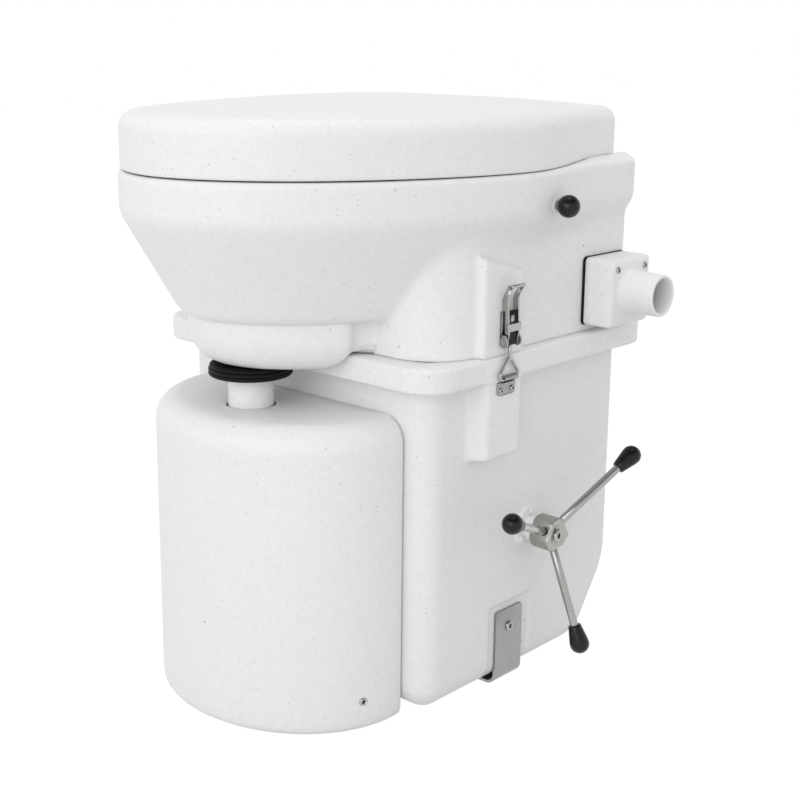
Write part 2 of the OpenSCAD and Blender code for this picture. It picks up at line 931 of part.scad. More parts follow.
module rear_hinge_pins() {
  color("#b8b8b6")
    for (s = [-1, 1])
      rod_x(rear_axis_y, z_rear_axis, rear_pin_r, s * rear_hinge_x - rear_hinge_w / 2 - 1,
            s * rear_hinge_x + rear_hinge_w / 2 + 1);
}

module rear_hinge_head() {
  color("#9a9a98")
    for (s = [-1, 1])
      translate([s * rear_hinge_x, 0, 0])
        difference() {
          union() {
            rear_barrel(-rear_head_w / 2, rear_head_w / 2);
            block([-rear_head_w / 2, head_rear, z_rear_axis - 2],
                  [rear_head_w / 2, rear_axis_y, z_rear_axis + 3]);
            block([-rear_hinge_w / 2, head_rear, z_rear_axis - 2],
                  [rear_hinge_w / 2, head_rear + 1.5, z_rear_axis + 26]);
          }
          rod_x(rear_axis_y, z_rear_axis, rear_pin_r + run, -rear_hinge_w, rear_hinge_w);
        }
}

// Head

function box_outline(t) = round_rect(
  head_half - t, head_front + t, head_rear - t, head_front_r - t, head_rear_r - t
);

function rim_outline(t) = oval(
  rim_half - t, rim_front + t, rim_mid, rim_rear - t, rim_rear_half - t, max(rim_corner_r - t, 6)
);

function seat_outline(t) = oval(
  seat_w / 2 + t, seat_front - t, rim_mid, seat_rear + t, seat_w / 2 - 12 + t, 60 + t, 2
);

// The outline inside the tank's mouth, set in by t
function mouth_outline(t) = round_rect(
  inner_half - t, y_front + wall + t, y_rear - wall - t, tank_corner_r - wall, tank_corner_r - wall
);

module funnel(t, top) {
  loft([
    [z_funnel + t, rim_outline(funnel_in + t)],
    [z_band, rim_outline(t)],
    [z_rim - (t > 0 ? t : rim_edge), rim_outline(t)],
    [top, rim_outline(t > 0 ? t : rim_edge)]
  ]);
}

module head_moulding() {
  trap_wall = rim_half - trap_bush_l + 1;
  difference() {
    union() {
      difference() {
        union() {
          plate(box_outline(0), z_deck, z_band - z_deck);
          funnel(0, z_rim);
          block([-throat_half, pan_rear + fit, z_deck + throat_gap],
                [throat_half, head_front + 20, z_funnel + 1]);
          both_sides()
            block([head_half - 2, latch_y - latch_boss_w / 2, z_deck + 1],
                  [flange_half, latch_y + latch_boss_w / 2, z_deck + latch_boss_h]);
        }
        plate(box_outline(wall), z_deck + wall, z_rim - 2 * wall - z_deck);
        plate(mouth_outline(lip_gap + lip_t), z_deck - eps, 3 * wall);
        funnel(wall, z_rim - wall + 0.01);
      }
      difference() {
        plate(mouth_outline(lip_gap), z_deck - lip_h, lip_h + 1);
        plate(mouth_outline(lip_gap + lip_t), z_deck - lip_h - eps, lip_h + 2);
      }
      both_sides()
        rod_x(trap_y, z_trap, trap_boss_r, trap_wall, rim_half - 2);
    }
    plate(seat_outline(0), z_rim - 2 * wall, 3 * wall);
    rod_x(trap_y, z_trap, trap_bush_r + fit, trap_wall - eps, rim_half + 5);
    rod_x(trap_y, z_trap, trap_bush_r + fit, -rim_half + 5, -trap_wall + eps);
    rod_x(vent_y, z_vent, vent_hole_r, head_half - wall - eps, head_half + eps);
    rod_x(vent_y, z_vent, vent_hole_r, -head_half - eps, -head_half + wall + eps);
    translate([0, neck_y, z_funnel - eps])
      cylinder(r = 30, h = wall + 2 * eps);
  }
}

// The lower part of the head: up to the funnel's floor in front, and to below the vent at the rear
module head_low_part() {
  side = rim_half + 10;
  low = z_deck - lip_h - 1;
  step = vent_y - vent_hole_r - 25;
  block([-side, rim_front - 10, low], [side, step, z_funnel - 0.5]);
  block([-side, step - eps, low], [side, y_rear + 60, z_vent - vent_hole_r - 1.5]);
}

module head_shell() {
  color("#efefed")
    difference() {
      head_moulding();
      head_low_part();
    }
}

module head_box() {
  color("#efefed")
    intersection() {
      head_moulding();
      head_low_part();
    }
}

module bowl() {
  low = seat_w / 2 - 33;
  function level(in, t) = oval(
    low + 33 - in + t, seat_front + in * 1.8 - t, rim_mid, seat_rear - in * 1.4 + t, low + 21 - in + t, 40, 2
  );
  half = outlet_w / 2;
  len = outlet_l / 2;
  color("#f1f1ef")
    difference() {
      union() {
        loft([
          [bowl_z, level(33, bowl_t)],
          [bowl_z + 0.4 * (z_rim - bowl_z), level(13, bowl_t)],
          [z_rim - wall - 0.5, level(0, bowl_t)]
        ]);
        plate(seat_outline(bowl_lip), z_rim - wall - bowl_t, bowl_t);
        intersection() {
          translate([0, trap_y, z_trap - trap_r])
            linear_extrude(bowl_z - z_trap + trap_r + 1)
              polygon(round_rect(half + bowl_t, -len - bowl_t, len + bowl_t, 12, 12));
          rod_x(trap_y, z_trap, trap_r - 2, -half - 10, half + 10);
        }
      }
      loft([
        [bowl_z + bowl_t, level(33, 0)],
        [bowl_z + 0.4 * (z_rim - bowl_z), level(13, 0)],
        [z_rim - wall, level(0, 0)],
        [z_rim - wall + 1, level(0, 0)]
      ]);
      translate([0, trap_y, z_trap - trap_r - 5])
        linear_extrude(trap_r)
          polygon(round_rect(half, -len, len, 9, 9));
      for (x = [-18:9:18])
        for (y = [seat_front + 68, seat_front + 76])
          translate([x, y, bowl_z - eps])
            cylinder(r = 2.5, h = bowl_t + 2 * eps, $fn = 24);
    }
}

module trap_seal() {
  half = outlet_w / 2 + bowl_t + 0.02;
  len = outlet_l / 2 + bowl_t + 0.02;
  color("#242424")
    intersection() {
      translate([0, trap_y, z_trap - trap_r])
        linear_extrude(trap_r)
          difference() {
            polygon(round_rect(half + 3, -len - 3, len + 3, 15, 15));
            polygon(round_rect(half, -len, len, 12, 12));
          }
      difference() {
        rod_x(trap_y, z_trap, trap_r - rest_gap, -half - 10, half + 10);
        rod_x(trap_y, z_trap, trap_r - 7, -half - 11, half + 11);
      }
    }
}

module urine_pan() {
  module shell(t) {
    r = pan_edge_r - t;
    loft(concat(
      [for (a = [0, 30, 60, 90]) [z_pan + t + edge_up(r, a), pan_outline(edge_in(r, a), t)]],
      [[z_funnel + (t > 0 ? eps : 0), pan_outline(0, t)]]
    ));
  }
  function pan_outline(in, t) =
    let (
      depth = rim_mid - pan_front - in - t,
      last = acos(pow((rim_mid - pan_rear + in * 0.2 + t) / depth, 0.95)),
      right = [for (i = [0:16]) let (a = last * i / 16) [
        (pan_half - in - t) * pow(sin(a), 2 / 1.9),
        rim_mid - depth * pow(cos(a), 2 / 1.9)
      ]],
      left = [for (i = [16:-1:1]) [-right[i][0], right[i][1]]]
    )
    concat(right, left);
  color("#efefed")
    difference() {
      shell(0);
      shell(3);
      translate([0, neck_y, z_pan - eps])
        cylinder(r = drain_r, h = 6);
    }
}

module trap_bushes() {
  color("#e0e0dc")
    for (s = [0, 1])
      mirror([s, 0, 0])
        difference() {
          rod_x(trap_y, z_trap, trap_bush_r, rim_half - trap_bush_l, rim_half - 6 * s + 0.4 * (1 - s));
          rod_x(trap_y, z_trap, trap_shaft_r + run, rim_half - trap_bush_l - eps, rim_half + 1 - 9 * s);
        }
}

module trap_door() {
  color("#eeeeec")
    along_x(trap_y, z_trap)
      difference() {
        union() {
          rotate([0, 0, -trap_dish_angle])
            rotate_extrude(angle = 2 * trap_dish_angle)
              translate([trap_r, -trap_dish_half])
                square([trap_t, 2 * trap_dish_half]);
          rotate([0, 0, -6.5])
            rotate_extrude(angle = 13)
              translate([trap_r + 0.5, -trap_arm_x - trap_t - 1])
                square([trap_t - 1, 2 * (trap_arm_x + trap_t + 1)]);
          for (s = [0, 1])
            mirror([0, 0, s]) {
              translate([0, -trap_arm_w / 2, trap_arm_x])
                cube([trap_r + 2, trap_arm_w, trap_t]);
              translate([0, 0, trap_arm_x])
                cylinder(r = trap_hub_r, h = trap_hub_l);
              translate([0, 0, trap_arm_x])
                cylinder(r = trap_arm_w / 2 + 1, h = trap_t);
            }
        }
        translate([0, 0, -200])
          cylinder(r = trap_shaft_r + fit, h = 400);
      }
}

module trap_door_shaft() {
  color("#b0b0ae") {
    rod_x(trap_y, z_trap, trap_shaft_r, trap_arm_x, ball_x);
    rod_x(trap_y, z_trap, trap_shaft_r, -rim_half + 9, -trap_arm_x);
  }
}

module trap_door_knob() {
  color("#101010")
    difference() {
      union() {
        translate([ball_x, trap_y, z_trap]) sphere(r = ball_r);
        rod_x(trap_y, z_trap, 6, rim_half + 0.7, ball_x);
      }
      rod_x(trap_y, z_trap, trap_shaft_r + fit, rim_half, ball_x + 0.1);
    }
}

// Lid and its hinge

function lid_outline(t) = oval(
  lid_half - t, lid_front + t, rim_mid, lid_rear - t, lid_rear_w / 2 - t, max(lid_rear_r - t / 2, 4)
);

module lid_form(t) {
  r = lid_edge_r;
  top = z_lid_edge - t;
  edge = lid_outline(t + r);
  loft(concat(
    [[z_lid - (t > 0 ? eps : 0), lid_outline(t)]],
    [for (a = [0, 30, 60]) [top - r + r * sin(a), lid_outline(t + r * (1 - cos(a)))]],
    [[top, edge]],
    [for (s = [0.75, 0.45, 0.15]) [top + lid_crown * (1 - s * s), scaled(edge, s, rim_mid)]]
  ));
}

module lid() {
  bosses = [[lid_half - 30, rim_mid - 43], [lid_rear_w / 2 - 22, lid_rear - 66]];
  color("#f2f2f0")
    difference() {
      union() {
        difference() {
          lid_form(0);
          lid_form(lid_wall);
        }
        both_sides()
          for (p = bosses)
            translate([p[0], p[1], z_lid])
              cylinder(r = 7, h = lid_h - 2);
        for (s = [-1, 1])
          translate([s * lid_hinge_x, 0, 0])
            for (x = [-lid_block_w / 2 - rest_gap - lid_ear_w, lid_block_w / 2 + rest_gap]) {
              rod_x(lid_axis_y, z_lid_axis, lid_barrel_r, x, x + lid_ear_w);
              block([x, lid_rear - 2, z_lid_axis - lid_barrel_r],
                    [x + lid_ear_w, lid_axis_y, z_lid_axis + lid_barrel_r]);
            }
      }
      for (s = [-1, 1])
        rod_x(lid_axis_y, z_lid_axis, lid_pin_r + run, s * lid_hinge_x - 30, s * lid_hinge_x + 30);
    }
}

module lid_bumpers() {
  color("#2a2a2a")
    both_sides()
      for (p = [[lid_half - 30, rim_mid - 43], [lid_rear_w / 2 - 22, lid_rear - 66]])
        translate([p[0], p[1], z_rim + rest_gap])
          cylinder(r = bumper_r, h = lid_gap - rest_gap);
}

module lid_hinge_blocks() {
  color("#e4e4e2")
    for (s = [-1, 1])
      translate([s * lid_hinge_x, 0, 0])
        difference() {
          union() {
            rod_x(lid_axis_y, z_lid_axis, lid_barrel_r, -lid_block_w / 2, lid_block_w / 2);
            block([-lid_block_w / 2, lid_axis_y - lid_barrel_r, z_rim],
                  [lid_block_w / 2, lid_axis_y + lid_barrel_r, z_lid_axis]);
            block([-lid_block_w / 2, lid_axis_y - 22, z_rim], [lid_block_w / 2, lid_axis_y, z_rim + 2]);
          }
          rod_x(lid_axis_y, z_lid_axis, lid_pin_r + fit, -30, 30);
        }
}

module lid_hinge_pins() {
  half = lid_block_w / 2 + rest_gap + lid_ear_w;
  color("#b4b4b2")
    for (s = [-1, 1])
      rod_x(lid_axis_y, z_lid_axis, lid_pin_r, s * lid_hinge_x - half, s * lid_hinge_x + half);
}

// Vent, fan and air intake

// A square plate outline about the vent's axis, in the plane across it
module vent_square(w, h, r) {
  polygon(concat(
    arc(h / 2 - r, w / 2 - r, r, 0, 90, 4), arc(-h / 2 + r, w / 2 - r, r, 90, 180, 4),
    arc(-h / 2 + r, -w / 2 + r, r, 180, 270, 4), arc(h / 2 - r, -w / 2 + r, r, 270, 360, 4)
  ));
}

module at_vent(x) {
  along_x(vent_y, z_vent)
    translate([0, 0, x])
      children();
}

module vent_gasket() {
  color("#181818")
    at_vent(head_half)
      linear_extrude(gasket_t)
        difference() {
          vent_square(vent_w + 2 * gasket_edge, vent_h + 2 * gasket_edge, 6);
          vent_square(vent_w - 2 * vent_wall, vent_h - 2 * vent_wall, 3);
        }
}

module vent_housing() {
  color("#e6e6e4")
    difference() {
      union() {
        at_vent(head_half + gasket_t)
          linear_extrude(vent_d)
            vent_square(vent_w, vent_h, 4.5);
        at_vent(vent_face - 1)
          cylinder(r1 = spout_r + 1.7, r2 = spout_r, h = spout_l - 11);
        at_vent(vent_face + spout_l - 12)
          cylinder(r = spout_r, h = 12);
      }
      at_vent(head_half + gasket_t - eps)
        linear_extrude(vent_d - vent_wall + eps)
          vent_square(vent_w - 2 * vent_wall, vent_h - 2 * vent_wall, 3);
      at_vent(vent_face - 10)
        cylinder(r = spout_bore_r, h = spout_l + 11);
      for (s = [-1, 1])
        at_vent(vent_face - 10)
          translate([-vent_screw_gap, s * vent_screw_gap, 0])
            cylinder(r = 1.8, h = 20);
      at_inlet() cylinder(r = inlet_r + fit, h = 10, center = true);
    }
}

module at_inlet() {
  translate([inlet_x, vent_y + vent_w / 2, z_vent - 16])
    rotate([-90, 0, 0])
      children();
}

module power_inlet() {
  color("#161616")
    at_inlet()
      difference() {
        union() {
          cylinder(r = 5, h = 2);
          translate([0, 0, 1 - socket_l])
            cylinder(r = inlet_r, h = socket_l);
        }
        translate([0, 0, 2 - socket_l])
          cylinder(r = socket_r, h = socket_l + eps);
      }
}

module fan_frame() {
  color("#1e1e1e")
    at_vent(fan_x)
      difference() {
        union() {
          difference() {
            linear_extrude(fan_d) vent_square(fan_w, fan_w, 3);
            translate([0, 0, -eps]) cylinder(r = fan_bore_r, h = fan_d + 2 * eps);
          }
          translate([0, 0, fan_d - 2.5]) {
            cylinder(r = fan_hub_r, h = 2.5);
            for (a = [0:90:270])
              rotate([0, 0, a])
                translate([0, -1.5, 0])
                  cube([fan_bore_r + 1, 3, 2.5]);
          }
          translate([0, 0, 4]) cylinder(r = 3.5, h = fan_d - 5);
        }
        translate([0, 0, -eps]) cylinder(r = 1.5 + run, h = fan_d - 1);
        for (x = [-1, 1])
          for (y = [-1, 1])
            translate([x * vent_screw_gap, y * vent_screw_gap, -eps])
              cylinder(r = 1.8, h = fan_d + 2 * eps);
      }
}

module fan_rotor() {
  color("#2a2a2a")
    at_vent(fan_x) {
      difference() {
        translate([0, 0, 1]) cylinder(r = fan_hub_r, h = fan_d - 4.5);
        translate([0, 0, 2.5]) cylinder(r = fan_hub_r - 2, h = fan_d);
      }
      translate([0, 0, 2]) cylinder(r = 1.5, h = fan_d - 4.5);
      for (a = [0:360 / 7:359])
        rotate([0, 0, a])
          translate([fan_hub_r - 0.6, 0, 1 + (fan_d - 4.5) / 2])
            rotate([38, 0, 0])
              translate([0, -5.5, -0.6])
                cube([fan_bore_r - fan_hub_r - 0.4, 11, 1.2]);
    }
}

module vent_screws() {
  color("#8e8e8c") {
    for (s = [-1, 1])
      at_vent(0)
        translate([-vent_screw_gap, s * vent_screw_gap, 0]) {
          translate([0, 0, fan_x + 4]) cylinder(r = 1.6, h = vent_face - fan_x - 3);
          translate([0, 0, vent_face]) cylinder(r = 3.2, h = 1.6);
        }
    for (s = [-1, 1])
      translate([-head_half - intake_d, vent_y + s * (intake_w / 2 - 5), z_vent])
        rotate([0, -90, 0]) {
          translate([0, 0, -intake_d + 0.2]) cylinder(r = 1.6, h = intake_d);
          cylinder(r = 3.2, h = 1.6);
        }
  }
}

module screen(w, h) {
  pitch = 7;
  linear_extrude(screen_t)
    difference() {
      vent_square(w, h, 3);
      for (i = [-3:3])
        for (j = [-3:3])
          translate([i * pitch, j * pitch])
            square(pitch - 1.2, center = true);
    }
}

module bug_screens() {
  color("#787876") {
    at_vent(head_half)
      screen(vent_w - 2 * vent_wall - 0.4, vent_h - 2 * vent_wall - 0.4);
    at_vent(-head_half - screen_t)
      screen(52, 52);
  }
}

module intake_cover() {
  color("#e6e6e4")
    at_vent(-head_half - intake_d)
      difference() {
        linear_extrude(intake_d)
          vent_square(intake_w, intake_w, 6);
        translate([0, 0, 2.5])
          linear_extrude(intake_d)
            vent_square(intake_w - 12, intake_w - 12, 4);
        for (i = [-2:2])
          translate([i * 9, 0, -eps])
            linear_extrude(4)
              square([4.5, 40], center = true);
        for (s = [-1, 1])
          translate([0, s * (intake_w / 2 - 5), -eps])
            cylinder(r = 1.6 + fit, h = intake_d + 2 * eps);
      }
}

// Bottle and its housing

// A half ellipse with a straight rear, set in by t at the sides and front and by back at the rear
function dee(t, back) = oval(
  housing_half - t, housing_front + t, housing_rear - back - housing_corner_r - 4, housing_rear - back,
  housing_half - t - 0.6, housing_corner_r, 2, 1
);

module housing_form(t) {
  r = housing_edge_r - t;
  top = z_housing - t;
  loft(concat(
    [[t > 0 ? -eps : 0, dee(6 + t, 1 + t)], [3, dee(2 + t, 0.4 + t)], [10, dee(t, t)]],
    [for (a = [0, 30, 60, 90]) [top - r + r * sin(a), dee(t + r * (1 - cos(a)), t + r * (1 - cos(a)))]]
  ));
}

// Places its child at the housing screw, with +Z out of the wall
module at_housing_screw() {
  a = housing_screw_turn;
  rear = housing_rear - 7;
  translate([housing_half * cos(a), rear - (rear - housing_front) * sin(a), housing_screw_z])
    rotate([0, 90, -a])
      children();
}

module bottle_housing() {
  color("#f0f0ee")
    difference() {
      housing_form(0);
      housing_form(housing_wall);
      translate([0, neck_y, z_housing - housing_wall - 10])
        cylinder(r = neck_hole_r, h = 20);
      both_sides()
        at_housing_screw() {
          cylinder(r = 2.2, h = 30, center = true);
          cylinder(r = 4.2, h = 5);
        }
    }
}

module bottle_tray() {
  t = housing_wall + 0.4;
  color("#dcdcda")
    difference() {
      loft([[0, dee(6 + t, 1 + t)], [3, dee(2 + t, 0.4 + t)], [10, dee(t, t)], [tray_h, dee(t, t)]]);
      plate(dee(t + 5, t + 5), tray_t, tray_h);
      both_sides()
        at_housing_screw() cylinder(r = 2 + fit, h = 36, center = true);
    }
}

module housing_screws() {
  color("#8a8a88")
    both_sides()
      at_housing_screw() {
        translate([0, 0, -10]) cylinder(r = 2, h = 11);
        cylinder(r = 4, h = 2.2);
      }
}

module urine_bottle() {
  t = 16;
  top = z_housing - housing_wall - 8;
  module body(t, z1, z2) {
    loft([
      [z1, dee(t, t)],
      [z2 - 16, dee(t, t)],
      [z2 - 4, dee(t + 6, t + 6)],
      [z2, dee(t + 18, t + 18)]
    ]);
  }
  color("#f6f6f2")
    difference() {
      union() {
        body(t, tray_t, top);
        translate([0, neck_y, top - 2])
          cylinder(r = neck_r, h = z_neck - top + 2);
      }
      body(t + bottle_wall, tray_t + bottle_wall, top - bottle_wall);
      translate([0, neck_y, top - 20])
        cylinder(r = neck_r - neck_wall, h = z_neck - top + 21);
    }
}

module neck_gasket() {
  r = gasket_r;
  z0 = z_pan - 0.4 - gasket_h;
  color("#121212")
    difference() {
      translate([0, neck_y, z0])
        rotate_extrude($fn = 72)
          polygon(concat(
            [[0, 0], [r - 2.6, 0]],
            arc(r - 2, 2, 2, -60, 60, 4),
            arc(r - 2, 5.2, 2, -50, 50, 4),
            arc(r - 3, 8.2, 1.8, -50, 90, 4),
            [[0, gasket_h]]
          ));
      translate([0, neck_y, z0 - eps])
        cylinder(r = neck_r + 0.1, h = z_neck - z0 + eps);
      translate([0, neck_y, z0])
        cylinder(r = neck_r - neck_wall, h = gasket_h + 2);
    }
}

solids_tank();
tank_seal();
foot_bracket_right();
foot_bracket_left();
bracket_screws();
bracket_inserts();
rubber_feet();
bearing_flange();
end_bush();
flange_screws();
shaft_seals();
latch_keeper_right();
latch_keeper_left();
keeper_screws();
rear_hinge_base();
rear_hinge_pins();
bottle_housing();
bottle_tray();
housing_screws();
urine_bottle();
neck_gasket();
head_shell();
head_box();
bowl();
urine_pan();
trap_seal();
trap_bushes();
rear_hinge_head();
lid_hinge_blocks();
lid_hinge_pins();
vent_housing();
vent_gasket();
vent_screws();
bug_screens();
fan_frame();
power_inlet();
intake_cover();
latch_base_right();
latch_base_left();
latch_rivets();
lid();
lid_bumpers();
trap_door();
trap_door_shaft();
trap_door_knob();
agitator_shaft();
agitator_paddles();
spider_hub();
spider_bolt();
spider_rods();
spider_collars();
spider_knobs();
fan_rotor();
latch_lever_right();
latch_lever_left();
latch_pad_right();
latch_pad_left();
latch_loop_right();
latch_loop_left();
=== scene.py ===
import json
import math
import bpy
import numpy as np
from mathutils import Matrix, Vector


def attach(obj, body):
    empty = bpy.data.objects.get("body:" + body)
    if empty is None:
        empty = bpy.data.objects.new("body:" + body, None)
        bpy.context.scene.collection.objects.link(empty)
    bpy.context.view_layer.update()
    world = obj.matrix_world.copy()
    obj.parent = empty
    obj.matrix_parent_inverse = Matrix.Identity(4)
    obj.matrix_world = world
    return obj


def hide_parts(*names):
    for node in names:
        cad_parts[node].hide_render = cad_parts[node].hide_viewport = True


bl_info = {
    "name": "Composting toilet",
    "version": (1, 0, 0),
    "blender": (4, 5, 0),
    "location": "3D View > Sidebar > Toilet",
    "description": "Builds the looks of a composting toilet around its packed CAD model",
    "category": "Add Mesh",
}

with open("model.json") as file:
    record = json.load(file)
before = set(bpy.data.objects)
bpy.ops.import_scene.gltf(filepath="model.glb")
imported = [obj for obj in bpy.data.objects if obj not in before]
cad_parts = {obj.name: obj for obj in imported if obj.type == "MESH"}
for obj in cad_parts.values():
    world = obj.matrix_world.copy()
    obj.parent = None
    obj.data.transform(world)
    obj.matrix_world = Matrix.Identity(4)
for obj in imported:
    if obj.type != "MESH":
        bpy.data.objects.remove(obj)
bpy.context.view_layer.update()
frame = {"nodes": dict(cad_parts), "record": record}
MM = 0.001


# ---------------------------------------------------------------- solids as distances, in mm


def smin(a, b, k):
    """The smaller of two distances, rounded where they cross: less h^2 k / 4, where h is
    1 - |a - b| / k, at least 0."""
    h = np.maximum(k - np.abs(a - b), 0) / k
    return np.minimum(a, b) - h * h * k / 4


def smax(a, b, k):
    """The larger of two distances, rounded where they cross."""
    return -smin(-a, -b, k)


def ease(t):
    """3 t^2 - 2 t^3, with t held between 0 and 1."""
    t = np.clip(t, 0, 1)
    return t * t * (3 - 2 * t)


def bend(u, v, r):
    """Distance to a round corner. u and v are the distances past its centre: the length of what is
    positive, or else the larger one, less the radius r."""
    return np.hypot(np.maximum(u, 0), np.maximum(v, 0)) + np.minimum(np.maximum(u, v), 0) - r


def rect(x, y, half, front, rear, r):
    """Distance to a rectangle with round corners: the distance to the corner's centre, less the
    radius r."""
    return bend(np.abs(x) - half + r, np.abs(y - (front + rear) / 2) - (rear - front) / 2 + r, r)


def block(x, y, z, low, high, r):
    """Distance to a box with round edges: the length of what stands out past its inner box, less
    the radius r."""
    q = [np.abs(p - (a + b) / 2) - (b - a) / 2 + r for p, a, b in zip((x, y, z), low, high)]
    out = np.sqrt(sum(np.maximum(c, 0) ** 2 for c in q))
    return out + np.minimum(np.maximum(np.maximum(q[0], q[1]), q[2]), 0) - r


def slab(d, z, low, high, r_low, r_high):
    """A plan distance d made a solid between two heights, with a round edge at each: the distance
    to the edge's centre, less its radius."""
    up = z > (low + high) / 2
    r = np.where(up, r_high, r_low)
    return bend(d + r, np.where(up, z - high, low - z) + r, r)


def oval(x, y, half, front, mid, rear, rear_half, r, power):
    """Distance to a seat's outline. In front of mid it is a superellipse,
    |x / half|^p + |y / depth|^p = 1. Behind mid its half width eases to rear_half at a straight
    rear edge with corners of radius r."""
    depth = mid - front
    q = np.abs(x / half) ** power + np.abs(np.minimum(y - mid, 0) / depth) ** power
    away = np.hypot(x, y - mid)
    nose = away - away / np.maximum(q ** (1 / power), 1e-6)
    width = half - (half - rear_half) * ease((y - mid) / (rear - r - mid))
    return np.where(y < mid, nose, bend(np.abs(x) - width + r, y - rear + r, r))


# ---------------------------------------------------------------- surfaces on a grid


class Rays:
    """Level rays from an upright axis, at angles that space points evenly along a solid's
    outlines: the inverse of the running length, which is the longest of those at the heights."""

    def __init__(self, centre, solid, heights, count):
        self.centre = centre
        self.angle = a = np.linspace(0, 2 * np.pi, 3601)
        r = self.reach(solid, heights)
        gap = np.hypot(np.diff(r * np.cos(a)), np.diff(r * np.sin(a))).max(0)
        run = np.concatenate([[0], np.cumsum(gap)])
        self.angle = np.interp(np.arange(count) / count * run[-1], run, a)

    def reach(self, solid, z, inset=0.0, far=420.0):
        """How far each ray runs inside a solid drawn in by inset, for each height (row) and angle
        (column). The step between inside and outside is halved 26 times."""
        z = np.asarray(z, float)
        a, z = np.broadcast_arrays(self.angle[None, :], z.reshape(len(z), -1))
        inset = np.asarray(inset, float).reshape(-1, 1)
        c, s = np.cos(a), np.sin(a)
        near, away = np.zeros(a.shape), np.full(a.shape, far)
        for _ in range(26):
            m = (near + away) / 2
            inside = solid(self.centre[0] + m * c, self.centre[1] + m * s, z) + inset < 0
            near, away = np.where(inside, m, near), np.where(inside, away, m)
        return near

    def points(self, r, z):
        """Points of a surface: centre + r (cos, sin) in plan, at height z. r holds a distance for
        each ray, or one for each row."""
        r = np.asarray(r, float).reshape(len(r), -1) * np.ones(len(self.angle))
        z = np.broadcast_to(np.asarray(z, float).reshape(len(r), -1), r.shape)
        x, y = self.centre
        return np.stack([x + r * np.cos(self.angle), y + r * np.sin(self.angle), z], -1)

    def stack(self, rows):
        """The points of several pairs of distances and heights, one after another."""
        return np.concatenate([self.points(r, z) for r, z in rows])

    def wall(self, solid, z, inset=0.0, far=420.0):
        """The points where the rays leave a solid drawn in by inset."""
        return self.points(self.reach(solid, z, inset, far), z)


def disc(row, middle, shares):
    """Rings that fill an outline: middle + share (row - middle), at the middle's height."""
    middle = np.array(middle)
    return np.concatenate([middle + (row - middle) * s * [1, 1, 0] for s in shares])


def arc(start, end, count):
    """Evenly spaced angles, given in degrees."""
    return np.radians(np.linspace(start, end, count))


def to_x(p):
    """Turns a shape about an upright axis to one about an axis along X: (x, y, z) becomes
    (z, x, y)."""
    return p[..., [2, 0, 1]]


def to_y(p):
    """Turns a shape about an upright axis to one about an axis along Y: (x, y, z) becomes
    (x, z, y)."""
    return p[..., [0, 2, 1]]


def surface(rows, ends="poles"):
    """A closed mesh from rows of points, each row a closed loop. Neighbouring rows are joined by
    quads; the first and the last row are closed by a fan about their middle ("poles"), or joined
    to each other ("ring"). Faces point outwards: if the sum of the tetrahedra to the origin is
    negative, every face is turned round."""
    rows = np.asarray(rows, float)
    nv, nu = rows.shape[:2]
    points = rows.reshape(-1, 3)
    last = nv if ends == "ring" else nv - 1
    i, j = np.arange(last)[:, None], np.arange(nu)[None, :]
    k, n = (j + 1) % nu, (i + 1) % nv
    corners = np.broadcast_arrays(i * nu + j, i * nu + k, n * nu + k, n * nu + j)
    quads = np.stack(corners, -1).reshape(-1, 4)
    fans = np.zeros((0, 3), int)
    if ends == "poles":
        points = np.vstack([points, rows[0].mean(0), rows[-1].mean(0)])
        a, b, top = np.arange(nu), (np.arange(nu) + 1) % nu, (nv - 1) * nu
        low = np.stack([b, a, np.full(nu, nv * nu)], 1)
        high = np.stack([a + top, b + top, np.full(nu, nv * nu + 1)], 1)
        fans = np.vstack([low, high])
    v = points[np.vstack([quads[:, :3], quads[:, [0, 2, 3]], fans])]
    if np.einsum("ij,ij->i", v[:, 0], np.cross(v[:, 1], v[:, 2])).sum() < 0:
        quads, fans = quads[:, ::-1], fans[:, ::-1]
    mesh = bpy.data.meshes.new("surface")
    mesh.from_pydata((points * MM).tolist(), [], quads.tolist() + fans.tolist())
    mesh.validate()
    mesh.shade_smooth()
    return mesh


def turned(profile, origin, axis, count=64, ends="poles"):
    """A turned piece: a profile of (distance along the axis, radius) carried round the axis. A
    third number of 1 makes a row a hexagon: its radius times cos 30 / cos(a - 30), where a is the
    angle past a corner, in degrees."""
    axis = np.asarray(axis, float) / np.linalg.norm(axis)
    side = np.cross(axis, [0.0, 0.0, 1.0] if abs(axis[2]) < 0.9 else [1.0, 0.0, 0.0])
    side /= np.linalg.norm(side)
    t = np.arange(count) / count * 2 * np.pi
    p = np.asarray(profile, float)
    spoke = np.cos(t)[:, None] * side + np.sin(t)[:, None] * np.cross(axis, side)
    r = p[:, 1, None] * np.ones(count)
    if p.shape[1] == 3:
        flat = math.cos(math.pi / 6) / np.cos(t % (math.pi / 3) - math.pi / 6)
        r *= 1 + p[:, 2, None] * (flat - 1)
    rows = np.asarray(origin, float) + p[:, 0, None, None] * axis + r[..., None] * spoke
    return surface(rows, ends)


def bar(plan, centre, start, end, edge, turn, count=48):
    """A bar with a round edge at each end: its outline is drawn in by edge (1 - sin), while it
    runs on by edge (1 - cos). turn lays it along its axis."""
    t = np.linspace(0, np.pi / 2, 4)
    inset = edge * (1 - np.sin(t))
    on = edge * (1 - np.cos(t))
    along = np.concatenate([start + on, end - on[::-1]])
    rays = Rays(centre, plan, [0.0], count)
    return surface(turn(rays.wall(plan, along, np.concatenate([inset, inset[::-1]]), 60.0)))


